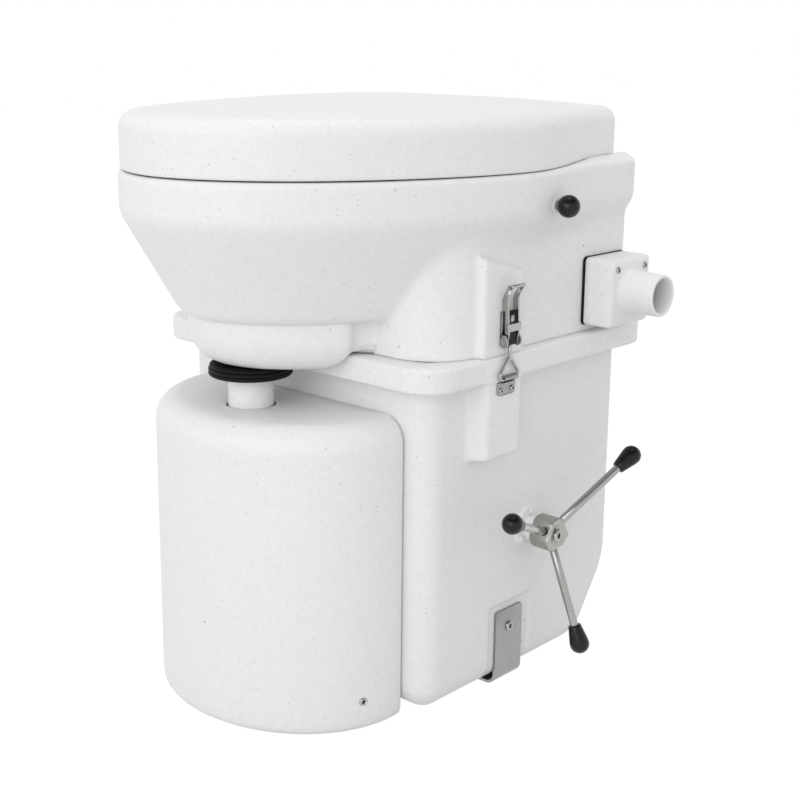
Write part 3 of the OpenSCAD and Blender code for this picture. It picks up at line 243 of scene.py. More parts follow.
def rounded(path, radius, steps=6):
    """A path whose corners are arcs: each corner is replaced by points on the circle that touches
    both of its sides."""
    path = [np.asarray(p, float) for p in path]
    out = [path[0]]
    for a, b, c in zip(path[:-2], path[1:-1], path[2:]):
        before, after = np.linalg.norm(a - b), np.linalg.norm(c - b)
        u, w = (a - b) / before, (c - b) / after
        half = math.acos(np.clip(u @ w, -1, 1)) / 2
        tangent = min(radius / math.tan(half), before * 0.49, after * 0.49)
        r = tangent * math.tan(half)
        mid = (u + w) / np.linalg.norm(u + w)
        hub = b + mid * r / math.sin(half)
        y = np.cross(np.cross(u, w), -mid)
        y /= np.linalg.norm(y)
        sweep = math.pi / 2 - half
        if (b + u * tangent - hub) @ y > 0:
            y = -y
        t = np.linspace(-sweep, sweep, steps + 1)[:, None]
        out.extend(hub + r * (np.sin(t) * y - np.cos(t) * mid))
    return np.array(out + [path[-1]])


def strip(width, thick, edge, steps=3):
    """A strip's cross-section: a rectangle with round edges, as (across, through) points."""
    t = np.linspace(0, np.pi / 2, steps + 1)
    quarters = []
    for k, (sx, sy) in enumerate(((1, 1), (-1, 1), (-1, -1), (1, -1))):
        a = t + k * np.pi / 2
        x, y = sx * (width / 2 - edge), sy * (thick / 2 - edge)
        quarters.append(np.stack([x + edge * np.cos(a), y + edge * np.sin(a)], 1))
    return np.concatenate(quarters)


def wire(r, count=16):
    """A wire's cross-section: a circle."""
    t = np.arange(count) / count * 2 * np.pi
    return np.stack([r * np.cos(t), r * np.sin(t)], 1)


def carried(path, section, across, ends="poles", scale=1.0):
    """A section carried along a flat path: path point + section's first number along across + its
    second number along the path's normal, the cross product of the path's direction and across."""
    path = np.asarray(path, float)
    across = np.asarray(across, float)
    if ends == "ring":
        along = np.roll(path, -1, 0) - np.roll(path, 1, 0)
    else:
        along = np.gradient(path, axis=0)
    along /= np.linalg.norm(along, axis=1)[:, None]
    normal = np.cross(along, across)
    sec = np.broadcast_to(section, (len(path), *section.shape)) * scale
    return surface(path[:, None] + sec[..., :1] * across + sec[..., 1:] * normal[:, None], ends)


def joined(meshes):
    """One mesh from several: their points and faces one after another."""
    points, faces, base = [], [], 0
    for m in meshes:
        co = np.empty(len(m.vertices) * 3)
        m.vertices.foreach_get("co", co)
        points.append(co.reshape(-1, 3))
        faces += [[base + v for v in p.vertices] for p in m.polygons]
        base += len(m.vertices)
        bpy.data.meshes.remove(m)
    mesh = bpy.data.meshes.new("joined")
    mesh.from_pydata(np.vstack(points).tolist(), [], faces)
    mesh.shade_smooth()
    return mesh


def place(name, body, look, meshes, *nodes):
    """Puts meshes in the scene as one piece: its material, its body and the CAD nodes
    that it stands for."""
    mesh = joined(meshes) if len(meshes) > 1 else meshes[0]
    mesh.name = name
    obj = bpy.data.objects.new(name, mesh)
    bpy.context.scene.collection.objects.link(obj)
    mesh.materials.append(finish(look))
    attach(obj, body)
    "stainless" if look in ("polished", "machined", "rod", "socket") else look
    if nodes:
        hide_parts(*nodes)


def button_heads(name, body, seats, r, high, node):
    """Screws with domed heads and hexagon sockets: each head's radius goes as 0.55 + 0.45 cos and
    its height as 0.25 + 0.75 sin of the same angle. The socket ends on a dark plug of painted
    shade: a dark piece where the steel socket's bottom is only in shade. seats holds each head's
    place and direction."""
    head = [(-0.6, 0.97 * r, 0), (0.0, r, 0)]
    head += [(high * (0.25 + 0.75 * math.sin(q)), r * (0.55 + 0.45 * math.cos(q)), 0)
             for q in arc(0, 90, 7)]
    head += [(high - 0.06, 0.54 * r, 1), (high * 0.2, 0.52 * r, 1)]
    shade_plug = [(high * 0.1, 0.46 * r), (high * 0.62, 0.46 * r)]
    place(name, body, "polished", [turned(head, at, way, 48) for at, way in seats], node)
    # painted shade: a dark plug at the bottom of each socket stands for the shade in the recess
    place(name + "_painted_socket_shade", body, "socket", [turned(shade_plug, at, way, 24) for at, way in seats])


# ---------------------------------------------------------------- materials


def linear(code):
    """An sRGB hex colour as linear light: ((c + 0.055) / 1.055)^2.4 above 0.04045, c / 12.92
    below."""
    c = np.array([int(code[i:i + 2], 16) / 255 for i in (1, 3, 5)])
    return (*np.where(c > 0.04045, ((c + 0.055) / 1.055) ** 2.4, c / 12.92).tolist(), 1.0)


def add(tree, kind, inputs=None, **settings):
    """Adds one node: sets its properties, then fills its sockets, by a link where the value is a
    socket."""
    n = tree.nodes.new(kind)
    for key, value in settings.items():
        setattr(n, key, value)
    for key, value in (inputs or {}).items():
        if isinstance(value, bpy.types.NodeSocket):
            tree.links.new(value, n.inputs[key])
        else:
            n.inputs[key].default_value = value
    return n


def emptied(data):
    """The node tree of a material or a world, with nothing in it."""
    data.use_nodes = True
    data.node_tree.nodes.clear()
    return data.node_tree


def material(name, sockets):
    """A material with one shader. sockets(tree, spot) gives what its sockets hold, and spot is the
    object's own coordinates."""
    m = bpy.data.materials.new(name)
    t = emptied(m)
    spot = add(t, "ShaderNodeTexCoord").outputs["Object"]
    shader = add(t, "ShaderNodeBsdfPrincipled", sockets(t, spot))
    add(t, "ShaderNodeOutputMaterial", {"Surface": shader.outputs[0]})
    return m


def grain(t, spot, scale, detail=2.0, rough=0.5, spread=None):
    """A noise of scale waves per metre, or of another number along each axis. spread holds the two
    values that the noise's usual range, 0.3 to 0.7, is drawn out to."""
    if np.ndim(scale):
        spot = add(t, "ShaderNodeMapping", {"Vector": spot, "Scale": scale}).outputs[0]
        scale = 1.0
    values = {"Vector": spot, "Scale": scale, "Detail": detail, "Roughness": rough}
    noise = add(t, "ShaderNodeTexNoise", values).outputs[0]
    return noise if spread is None else drawn_out(t, noise, spread)


def drawn_out(t, noise, spread):
    """A noise whose usual range, 0.3 to 0.7, is drawn out to the two values of spread."""
    values = {"Value": noise, "From Min": 0.3, "From Max": 0.7, "To Min": spread[0],
              "To Max": spread[1]}
    return add(t, "ShaderNodeMapRange", values).outputs[0]


def flecks(t, spot, cell, size, share, depth, seed):
    """A mask of small irregular flecks, as strong as depth: the distance to a cell's point is under
    a size that differs from cell to cell, in a share of the cells. cell and size are in mm."""
    shift = (seed, seed * 0.7, -seed)
    shifted = add(t, "ShaderNodeVectorMath", {0: spot, 1: shift}, operation="ADD").outputs[0]
    wobble = add(t, "ShaderNodeTexNoise", {"Vector": shifted, "Scale": 1600.0, "Detail": 1.0})
    amount = (0.0007, 0.0007, 0.0007)
    bent = add(t, "ShaderNodeVectorMath", {0: wobble.outputs["Color"], 1: amount, 2: shifted},
               operation="MULTIPLY_ADD").outputs[0]
    dots = add(t, "ShaderNodeTexVoronoi", {"Vector": bent, "Scale": 1000 / cell}).outputs
    pick = add(t, "ShaderNodeSeparateColor", {0: dots["Color"]}).outputs
    value = pick[0]
    for operation, inputs in (("POWER", {1: 2.5}),
                              ("MULTIPLY_ADD", {1: 0.8 * size / cell, 2: 0.2 * size / cell})):
        value = add(t, "ShaderNodeMath", {0: value, **inputs}, operation=operation).outputs[0]
    near = add(t, "ShaderNodeMath", {0: dots["Distance"], 1: value}, operation="DIVIDE")
    edge = {"Value": near.outputs[0], "From Min": 1.25, "From Max": 0.6}
    value = add(t, "ShaderNodeMapRange", edge).outputs[0]
    chosen = add(t, "ShaderNodeMath", {0: pick[1], 1: share}, operation="LESS_THAN").outputs[0]
    for factor in (chosen, depth):
        value = add(t, "ShaderNodeMath", {0: value, 1: factor}, operation="MULTIPLY").outputs[0]
    return value


def polyethylene(looks):
    """Rotomoulded polyethylene with granite flecks: powder fused against a mould, so a satin skin
    with a faint orange peel, and flecks of grey pigment that didn't melt in, mostly under half a
    millimetre. The smallest are drawn 0.6 mm wide to show."""
    def sockets(t, spot):
        tone = grain(t, spot, 260.0, 3.0, spread=(0.0, 1.0))
        colour = linear(looks.plastic)
        layers = [(tone, linear(looks.plastic_shade))]
        for cell, size, share, depth, seed in ((2.6, 0.7, 0.9, 0.16, 0.77),
                                               (4.2, 0.62, 0.8, 0.55, 0.13),
                                               (14.0, 1.0, 0.5, 0.85, 0.41)):
            mask = flecks(t, spot, cell, size, share, depth, seed)
            layers.append((mask, linear(looks.fleck)))
        for mask, over in layers:
            values = {0: mask, 6: colour, 7: over}
            colour = add(t, "ShaderNodeMix", values, data_type="RGBA").outputs[2]
        peel = {"Height": grain(t, spot, 330.0), "Distance": 0.00025, "Strength": 0.35}
        return {"Base Color": colour, "Roughness": grain(t, spot, 420.0, spread=(0.36, 0.5)),
                "IOR": 1.5, "Specular IOR Level": 0.4,
                "Normal": add(t, "ShaderNodeBump", peel).outputs[0]}

    return material("rotomoulded_polyethylene", sockets)


def steel(name, light, dark, rough, waves, relief):
    """Stainless steel with a brushed or tumbled skin: fine lines from the belt, so it shines in
    streaks across them. waves is the number of noise waves per metre along X, Y and Z; the belt's
    lines run where it is smallest. Roughness follows the mean of the lines and of slow clouds."""
    def sockets(t, spot):
        lines = grain(t, spot, waves, 4.0, 0.6)
        mean = lines
        for operation, value in (("ADD", grain(t, spot, 45.0, 3.0)), ("MULTIPLY", 0.5)):
            mean = add(t, "ShaderNodeMath", {0: mean, 1: value}, operation=operation).outputs[0]
        shades = {0: drawn_out(t, lines, (0.0, 1.0)), 6: linear(light), 7: linear(dark)}
        bump = {"Height": lines, "Distance": 0.00006, "Strength": relief}
        return {"Base Color": add(t, "ShaderNodeMix", shades, data_type="RGBA").outputs[2],
                "Roughness": drawn_out(t, mean, (rough - 0.07, rough + 0.07)), "Metallic": 1.0,
                "Normal": add(t, "ShaderNodeBump", bump).outputs[0]}

    return material(name, sockets)


def moulded(name, light, dark, rough, waves, relief, plain=None, detail=2.0):
    """A material whose tone, gloss and height each follow a noise. waves holds the waves per metre
    of each, rough the two ends of the roughness or one number, relief the bump's distance and
    strength, and plain what other sockets hold."""
    def sockets(t, spot):
        tone, gloss, height = waves
        shades = {0: grain(t, spot, tone, spread=(0.0, 1.0)), 6: linear(light), 7: linear(dark)}
        bump = {"Height": grain(t, spot, height, detail), "Distance": relief[0],
                "Strength": relief[1]}
        return {"Base Color": add(t, "ShaderNodeMix", shades, data_type="RGBA").outputs[2],
                "Roughness": grain(t, spot, gloss, spread=rough) if np.ndim(rough) else rough,
                "Normal": add(t, "ShaderNodeBump", bump).outputs[0], **(plain or {})}

    return material(name, sockets)


def dark(name, light, shade, rough, waves, height, gloss):
    """Rubber, phenolic resin, ABS or nylon, by its two shades, roughness, grain and gloss."""
    return moulded(name, light, shade, (rough - 0.05, rough + 0.06), (waves * 0.25, waves, waves),
                   (height, 0.5), {"Specular IOR Level": gloss}, 3.0)


FINISHES = {}


def finish(look):
    """The material of a record slot, or of one of the special steels, made once."""
    looks = bpy.context.scene.toilet_looks
    makers = {
        "polyethylene": lambda: polyethylene(looks),
        # blow-moulded without pigment: milky, smooth and a little glossier than the shell
        "natural_hdpe": lambda: moulded("blow_moulded_polyethylene", "#F2F2F1", "#ECECEA",
                                        (0.24, 0.34), (60.0, 200.0, 150.0), (0.0002, 0.2)),
        # belt lines along the height, so the straps shine in upright streaks
        "stainless": lambda: steel("brushed_stainless_steel", looks.steel, "#9A9A98", 0.34,
                                   (1100.0, 1100.0, 90.0), 0.25),
        # moulded rubber: deep black and matt, with a fine grain
        "black_rubber": lambda: dark("moulded_black_rubber", "#070707", "#0E0E0E", 0.55, 900.0,
                                     0.00006, 0.2),
        # pressed resin, polished: black with a soft, wide highlight
        "black_phenolic": lambda: dark("moulded_phenolic_resin", looks.knob, "#080808", 0.22,
                                       60.0, 0.00001, 0.35),
        # eroded mould skin: dark grey and even
        "dark_plastic": lambda: dark("moulded_dark_abs", "#101010", "#181818", 0.5, 900.0,
                                     0.00006, 0.25),
        # cut nylon: white, with a dull waxy gloss
        "white_nylon": lambda: dark("turned_nylon", "#EFEFEE", "#EAEAE9", 0.45, 300.0,
                                    0.00005, 0.4),
        # turned brass: warm yellow, with fine tool lines
        "brass_insert": lambda: moulded("turned_brass", "#E6DFC8", "#C9BE9C", 0.3,
                                        (900.0, 900.0, 1500.0), (0.00005, 0.4),
                                        {"Metallic": 1.0}),
        # tumbled small parts: bright, with no direction
        "polished": lambda: steel("tumbled_stainless_steel", "#B8B8B6", "#A4A4A2", 0.2,
                                  (700.0, 700.0, 700.0), 0.05),
        # drawn bar: smooth and even along its length
        "rod": lambda: steel("drawn_stainless_bar", "#AEAEAC", "#A2A2A0", 0.24,
                             (90.0, 90.0, 90.0), 0.0),
        # painted shade: near black for the bottom of a hexagon socket, where little light reaches
        "socket": lambda: dark("painted_socket_shade", "#0C0C0C", "#181818", 0.5, 900.0,
                               0.00004, 0.3),
        # faced on a lathe: fine lines around X, and a duller shine
        "machined": lambda: steel("machined_stainless_steel", "#B6B6B3", "#A2A19E", 0.36,
                                  (300.0, 900.0, 900.0), 0.2),
    }
    if look not in FINISHES:
        FINISHES[look] = makers[look]()
    return FINISHES[look]


# ---------------------------------------------------------------- properties


class ToiletSizes(bpy.types.PropertyGroup):
    """Sizes that a user would change; they fit the CAD model as they are."""

    crown: bpy.props.FloatProperty(
        name="Lid crown", description="Rise of the lid's crown over its edge",
        default=0.0105, min=0.004, max=0.0105, unit="LENGTH")
    lid_edge: bpy.props.FloatProperty(
        name="Lid edge radius", description="Radius of the lid's top edge",
        default=0.0136, min=0.006, max=0.016, unit="LENGTH")
    fillet: bpy.props.FloatProperty(
        name="Funnel fillet", description="Width of the rounding where the funnel meets the box",
        default=0.005, min=0.002, max=0.02, unit="LENGTH")
    boss_fillet: bpy.props.FloatProperty(
        name="Boss fillet", description="Width of the rounding at the foot of a latch boss",
        default=0.004, min=0.002, max=0.012, unit="LENGTH")
    housing_edge: bpy.props.FloatProperty(
        name="Bottle housing edge", description="Radius of the bottle housing's top edge",
        default=0.022, min=0.01, max=0.024, unit="LENGTH")
    ball: bpy.props.FloatProperty(
        name="Ball knob radius", description="Radius of the trap door's ball knob",
        default=0.0097, min=0.007, max=0.0097, unit="LENGTH")
    grip: bpy.props.FloatProperty(
        name="Handle knob radius", description="Outer radius of a handle knob",
        default=0.009, min=0.006, max=0.009, unit="LENGTH")


class ToiletLooks(bpy.types.PropertyGroup):
    """Colours that a user would change, as sRGB hex values."""

    plastic: bpy.props.StringProperty(
        name="Plastic", description="Colour of the moulded shells", default="#EFEFEE")
    plastic_shade: bpy.props.StringProperty(
        name="Plastic, shaded", description="Darker tone of the moulded shells", default="#EAEAE9")
    fleck: bpy.props.StringProperty(
        name="Flecks", description="Colour of the flecks", default="#7C7C7C")
    steel: bpy.props.StringProperty(
        name="Steel", description="Colour of the brushed steel", default="#A2A2A0")
    knob: bpy.props.StringProperty(
        name="Knobs", description="Colour of the knobs", default="#060606")


def size(key):
    """A length of ToiletSizes in mm."""
    return getattr(bpy.context.scene.toilet_sizes, key) / MM


# ---------------------------------------------------------------- the tank

TANK_LOW, TANK_FLOOR = 5.0, 9.0
FLANGE_LOW, FLANGE_TOP = 295.5, 317.0


def rear_slope(y, z):
    """Distance past the sloping face under the tank's rear, along its normal: 0.8222 to the rear
    and 0.5692 down."""
    return (y - 162) * 0.8222 + (83 - z) * 0.5692


def tank_inside(x, y, z):
    """The tank's hollow: a tub with a round bottom edge, a sloping face and a pad behind each
    bracket."""
    tub = slab(rect(x, y, 148, -113, 158, 17), z, TANK_FLOOR, 400, 17, 0)
    tub = smax(tub, rear_slope(y, z) + 4.86, 14)
    return smax(tub, -block(np.abs(x), y, z, (144, -33, -20), (170, 33, 82), 3), 4)


def tank_outside(x, y, z):
    """The tank's outer form: a tub with a sloping rear bottom face, bracket recesses, latch bosses
    and a flange."""
    x = np.abs(x)
    tub = slab(rect(x, y, 152, -117, 162, 21), z, TANK_LOW, 400, 21, 0)
    tub = smax(tub, rear_slope(y, z), 16)
    tub = smax(tub, -block(x, y, z, (149, -28.5, -30), (175, 29.5, 77.5), 2.2), 3)
    wide = (172 - np.minimum(x, 172)) * 0.14
    low, high = (120, -65.5 - wide, 227.5 - wide), (172, -19.5 + wide, 312)
    flange = slab(rect(x, y, 172, -137, 182, 32), z, FLANGE_LOW, FLANGE_TOP, 2.5, 3.2)
    return smin(smin(tub, flange, 5), block(x, y, z, low, high, 3.5), size("boss_fillet"))


class TOILET_OT_tank(bpy.types.Operator):
    """Makes the solids tank: a moulded tub with its flange, bosses and recesses"""

    bl_idname = "toilet.tank"
    bl_label = "Solids tank"

    def execute(self, context):
        rays = Rays((0.0, 22.5), tank_outside, [50.0, 260.0, 306.0], 460)
        heights = np.concatenate([
            [5.02, 5.3, 6.2, 7.8, 10, 12.8, 16, 19.5, 23], np.arange(27, 67, 5.0),
            np.arange(68, 98, 2.0), np.arange(100, 216, 6.0), np.arange(218, 240, 1.5),
            np.arange(242, 286, 6.0), [287, 289, 291, 292.6, 293.8, 294.6, 295.2, 295.5, 295.8],
            [296.3, 297, 298.2, 300], np.arange(303, 313, 3.0), [313.5, 314.6, 315.5, 316.2, 316.7],
        ])
        outer = rays.wall(tank_outside, heights)
        base = disc(outer[:1], (0, 0, TANK_LOW), (0.2, 0.45, 0.7, 0.88))
        mouth = rays.reach(tank_inside, [316.0])
        brim = rays.reach(tank_outside, [310.0], 3.2)
        lip = rays.points(
            np.concatenate([brim, (brim + mouth) / 2, mouth + 1.2, mouth + 0.4, mouth]),
            [FLANGE_TOP] * 3 + [316.6, 315.6])
        down = np.concatenate([np.arange(300, 100, -20.0), np.arange(95, 60, -4.0),
                               np.arange(58, 26, -6.0), [24, 20, 16, 13, 11, 9.6, 9.1]])
        inner = rays.wall(tank_inside, down)
        floor = disc(inner[-1:], (0, 0, TANK_FLOOR), (0.9, 0.6, 0.3))
        mesh = surface(np.concatenate([base, outer, lip, inner, floor]))
        place("tank_shell", "base", "polyethylene", [mesh], "solids_tank")
        return {"FINISHED"}


# ---------------------------------------------------------------- the head

RIM_TOP = 467.4
SEAT_MID = -14.0


def seat_cup(x, y, z):
    """The seat's oval cup: an upright band over a funnel that draws in evenly, by 50 mm in 86 mm
    below 433. The bend between them is rounded."""
    draw = smax(np.zeros_like(z), (433 - z) * 50 / 86, 4)
    plan = oval(x, y, 179.5 - draw, -277 + draw, SEAT_MID, 169 - draw, 172 - draw,
                40 - draw * 0.4, 1.9)
    return slab(plan, z, 347, RIM_TOP, 8, 5)


def head_box(x, y, z):
    """The head's box on the tank's flange: round corners, wider at the front."""
    plan = rect(x, y, 163, -119, 161, np.where(y < 20, 50.0, 28.0))
    return slab(plan, z, FLANGE_TOP, 456, 1.6, 2)


def head_boss(x, y, z):
    """The flat pad for a latch, with a roof that slopes down to the rear."""
    x = np.abs(x)
    wide = (172 - np.minimum(x, 172)) * 0.1
    roof = 401 - (y + 71.4) * 0.28 + wide
    return block(x, y, z, (130, -71.4 - wide, 318), (172, -19.6 + wide, roof), 2)


def head_outside(x, y, z):
    """The head's outer form: the cup and the box run into each other, and so do the latch pads."""
    both = smin(seat_cup(x, y, z), head_box(x, y, z), size("fillet"))
    return smin(both, head_boss(x, y, z), size("boss_fillet"))


def seat_opening(x, y, z):
    """The seat's opening: an oval inside the rim, of power 2, so an ellipse in front."""
    return oval(x, y, 118, -222, SEAT_MID, 115, 106, 60, 2.0)


def lid_plan(x, y, z):
    """The lid's outline: the rim's oval, 1.8 mm in, and narrower at the rear."""
    return oval(x, y, 177.7, -275.2, SEAT_MID, 163.6, 139.5, 14, 1.9)


def raised(p, share):
    """Points raised with the seam between rim and lid, which rises by 3 mm at the rear corners and
    stays level at the hinges: 3 times an ease to the rear, one to the side, and share."""
    rise = 3.0 * ease((p[..., 1] + 40) / 180) * ease((np.abs(p[..., 0]) - 90) / 35)
    return p + (rise * share)[..., None] * [0, 0, 1]


def raised_rim(p):
    """The rim raised with the seam. The share eases in up the rim's side and from 25 to 5 mm inside
    the lid's edge; outside the lid it grows to 1.9 at 9 mm and falls to 0.9 at 25 mm."""
    out = lid_plan(*np.moveaxis(p, -1, 0))
    ridge = 1 + 0.9 * ease(out / 9) - ease((out - 9) / 16)
    return raised(p, ease((p[..., 2] - 430) / 36) * ease((out + 25) / 20) * ridge)


def pan_outside(x, y, z):
    """The pan under the funnel's front. It has the funnel's outline, 6 mm in. Behind the flange's
    edge it runs on into the box, above the flange."""
    plan = oval(x, y, 123.5, -221, SEAT_MID, 160, 120, 20, 1.9)
    pan = smax(slab(plan, z, 305, 380, 31, 0), y + 139.3, 14)
    both = smin(pan, slab(plan + 12, z, 319, 380, 9, 0), 9)
    return smax(smin(both, head_box(x, y, z), 6) + 0.05, y + 108, 1)


class TOILET_OT_head(bpy.types.Operator):
    """Makes the head: the seat's cup, the box under it and the pan"""

    bl_idname = "toilet.head"
    bl_label = "Head"

    def execute(self, context):
        rays = Rays((0.0, -50.0), head_outside, [352.0, 380.0, 450.0], 600)
        heights = np.concatenate([
            [317, 317.25, 317.9, 319, 321, 324, 328, 332, 336, 340, 343, 345, 346.2, 346.8],
            [347.1, 347.4, 348, 349, 350.4, 352.2, 354.6, 357.5], np.arange(361, 385, 3.5),
            np.arange(386, 412, 2.0), np.arange(413, 424, 3.0), np.arange(425, 443, 2.0),
            np.arange(445, 461, 3.5), [462.6, 463.8, 464.8, 465.8, 466.6, 467.1],
        ])
        inset = np.interp(heights, [317, 317.25, 317.9, 319], [1.5, 0.7, 0.2, 0])
        outer = rays.wall(lambda x, y, z: head_outside(x, y, np.maximum(z, 319)), heights, inset)
        rim = rays.reach(head_outside, [455.0], 5.0)
        seat = rays.reach(seat_opening, [466.0])
        across = [seat * s + rim * (1 - s) for s in (0.08, 0.17, 0.27, 0.4, 0.55, 0.75)]
        edge = [seat + 3, seat + 1, seat + 0.2, seat, seat]
        top = rays.points(np.concatenate([rim, *across, *edge]),
                          [RIM_TOP] * 8 + [467, 466, 464, 462])
        # the hollow, 4 mm inside the cup and the box
        within = lambda x, y, z: 4 + smin(seat_cup(x, y, z), head_box(x, y, np.maximum(z, 325)), 5)
        down = np.array([461.9, 455, 440, 425, 410, 400, 390, 375, 360, 353, 351.2, 350.8, 345, 335,
                         325, 321.5])
        inner = rays.points(rays.reach(within, down.clip(0, 455)), down)
        foot = rays.reach(within, [330.0])
        # the lip that the head sets in the tank's mouth
        lip = rays.reach(lambda x, y, z: rect(x, y, 146.5, -111.5, 156.5, 17), [0.0])
        rest = rays.points(
            np.concatenate([foot - 2, lip - 3, lip - 3, lip - 2.6, lip - 0.4, lip, lip]),
            [321, 321, 309.4, 309, 309, 309.4, FLANGE_TOP])
        rows = [raised_rim(outer), raised_rim(top), inner, rest]
        cup = surface(np.concatenate(rows), "ring")

        rays = Rays((0.0, -168.0), pan_outside, [330.0], 300)
        heights = np.concatenate([
            [305.05, 305.3, 305.9, 307, 308.6, 310.6, 313, 315, 316, 317, 318.6, 319.1, 319.6],
            [320.4, 321.6, 323.4, 325.6, 328.5], np.arange(332, 349, 3.0), [349.0],
        ])
        wall = rays.wall(pan_outside, heights)
        base = disc(wall[:1], (0, -168.0, 305.0), (0.1, 0.3, 0.55, 0.8))
        pan = surface(np.concatenate([base, wall]))
        place("head_moulding", "head", "polyethylene", [cup, pan],
              "head_shell", "head_box", "urine_pan")
        return {"FINISHED"}


class TOILET_OT_bowl(bpy.types.Operator):
    """Makes the bowl in the seat: walls that curve in to a floor with the outlet's chute"""

    bl_idname = "toilet.bowl"
    bl_label = "Bowl"

    def execute(self, context):
        rays = Rays((0.0, 13.0), seat_opening, [0.0], 260)

        def reach(inset, z):
            """The opening's outline drawn in by inset at the sides, and by 1.8 and 1.4 times that
            at the front and the rear."""
            i = np.asarray(inset, float)[:, None]
            return rays.reach(lambda x, y, z: oval(x, y, 118 - i, -222 + 1.8 * i, SEAT_MID,
                                                   115 - 1.4 * i, 106 - i, 60 - i * 0.6, 2.0), z)

        t = np.linspace(0, 1, 15)
        z = 462 - 104 * np.sin(t * np.pi / 2) ** 1.15
        inset = 33 * t ** 1.6
        under = z[::-1] - np.linspace(3, 3.2, 15)
        inner = reach(inset, z)
        outlet = rays.reach(lambda x, y, z: rect(x, y, 55, -32, 58, 9), [0.0])
        # the chute ends on a cylinder about the trap door's shaft
        foot = 438.5 - np.sqrt(106.0 ** 2 - (outlet * np.sin(rays.angle)) ** 2)
        floor = [inner[-1:] * (1 - s) + (outlet + 6) * s for s in (0.35, 0.7, 1.0)]
        rows = [
            (inner, z), (np.concatenate(floor), [358, 358, 358]),
            (np.concatenate([outlet + 3, outlet + 0.8, outlet, outlet]),
             [357.4, 355.5, 352.5, 345]),
            (outlet, foot), (outlet + 2.8, foot),
            (np.concatenate([outlet + 3, outlet + 3]), [345, 355]),
            (reach(inset[::-1] - 3, under), under), (reach([-8, -8], [0, 0]), [458.8, 461.9]),
        ]
        mesh = surface(rays.stack(rows), "ring")
        place("bowl_moulding", "head", "polyethylene", [mesh], "bowl")
        return {"FINISHED"}


# ---------------------------------------------------------------- the lid


class TOILET_OT_lid(bpy.types.Operator):
    """Makes the lid: a crowned shell with a round top edge and its hinge ears"""

    bl_idname = "toilet.lid"
    bl_label = "Lid"

    def execute(self, context):
        r, crown, low, edge = size("lid_edge"), size("crown"), 468.5, 514.9
        rays = Rays((0.0, SEAT_MID), lid_plan, [0.0], 420)
        t = arc(0, 83, 10)
        z = np.concatenate([[low, low + 0.25, low + 1, low + 2.2],
                            np.linspace(low + 6, edge - r - 3, 6), edge - r + r * np.sin(t)])
        inset = np.concatenate([[2.2, 1, 0.2, 0], [0] * 6, r * (1 - np.cos(t))])
        side = rays.reach(lid_plan, z, inset)
        # the lower edge comes down by up to 0.85 mm to the rear, where the seam closes
        close = 0.85 * np.clip((side[3] * np.sin(rays.angle) + 150) / 250, 0, 1)
        outer = rays.points(side, z[:, None] - (z < low + 3)[:, None] * close)
        s = np.linspace(0.96, 0.04, 20)[:, None]
        top = rays.points(side[-1] * s, edge + crown * (1 - s * s) - (edge - z[-1]) * s ** 8)
        z = np.array([low, low + 0.8, 480, 495, 503, 508, 510.6])
        under = rays.reach(lid_plan, z, [2.8, 3.5, 3.5, 3.5, 5, 9, 16])
        inner = rays.points(under, z[:, None] - (z < low + 3)[:, None] * close)
        s = np.linspace(0.92, 0.06, 10)[:, None]
        ceiling = rays.points(under[-1] * s, 511 + (crown - 1.5) * (1 - s * s))
        seam = [raised(p, ease((500 - p[..., 2]) / 30)) for p in (inner[::-1], outer)]
        shell = surface(np.concatenate([ceiling[::-1], *seam, top]))

        def ear(y, z, x):
            """A round end about the hinge pin, on a bar that runs into the lid."""
            arm = np.maximum(np.abs(z - 474) - 4.5, np.abs(y - 165) - 5)
            return smin(np.hypot(y - 171, z - 474) - 4.5, arm, 0.5)

        ears = [bar(ear, (169.5, 474.0), x, x + 8, 0.8, to_x)
                for x in (-76.3, -51.7, 43.7, 68.3)]
        pads = [turned([(469, 7), (500, 7)], (sx * x, y, 0), (0, 0, 1), 32)
                for sx in (-1, 1) for x, y in ((147.7, -57.0), (117.5, 97.6))]
        place("lid_moulding", "lid", "polyethylene", [shell, *ears, *pads], "lid")
        return {"FINISHED"}


# ---------------------------------------------------------------- the bottle unit


def housing_plan(inset):
    """The housing's outline drawn in at the front and the sides. Its rear edge stays against the
    tank."""
    i = np.asarray(inset, float)[:, None]
    return lambda x, y, z: oval(x, y, 128 - i, -239 + i, -128, -118.1, 127.4 - i, 3, 2.0)


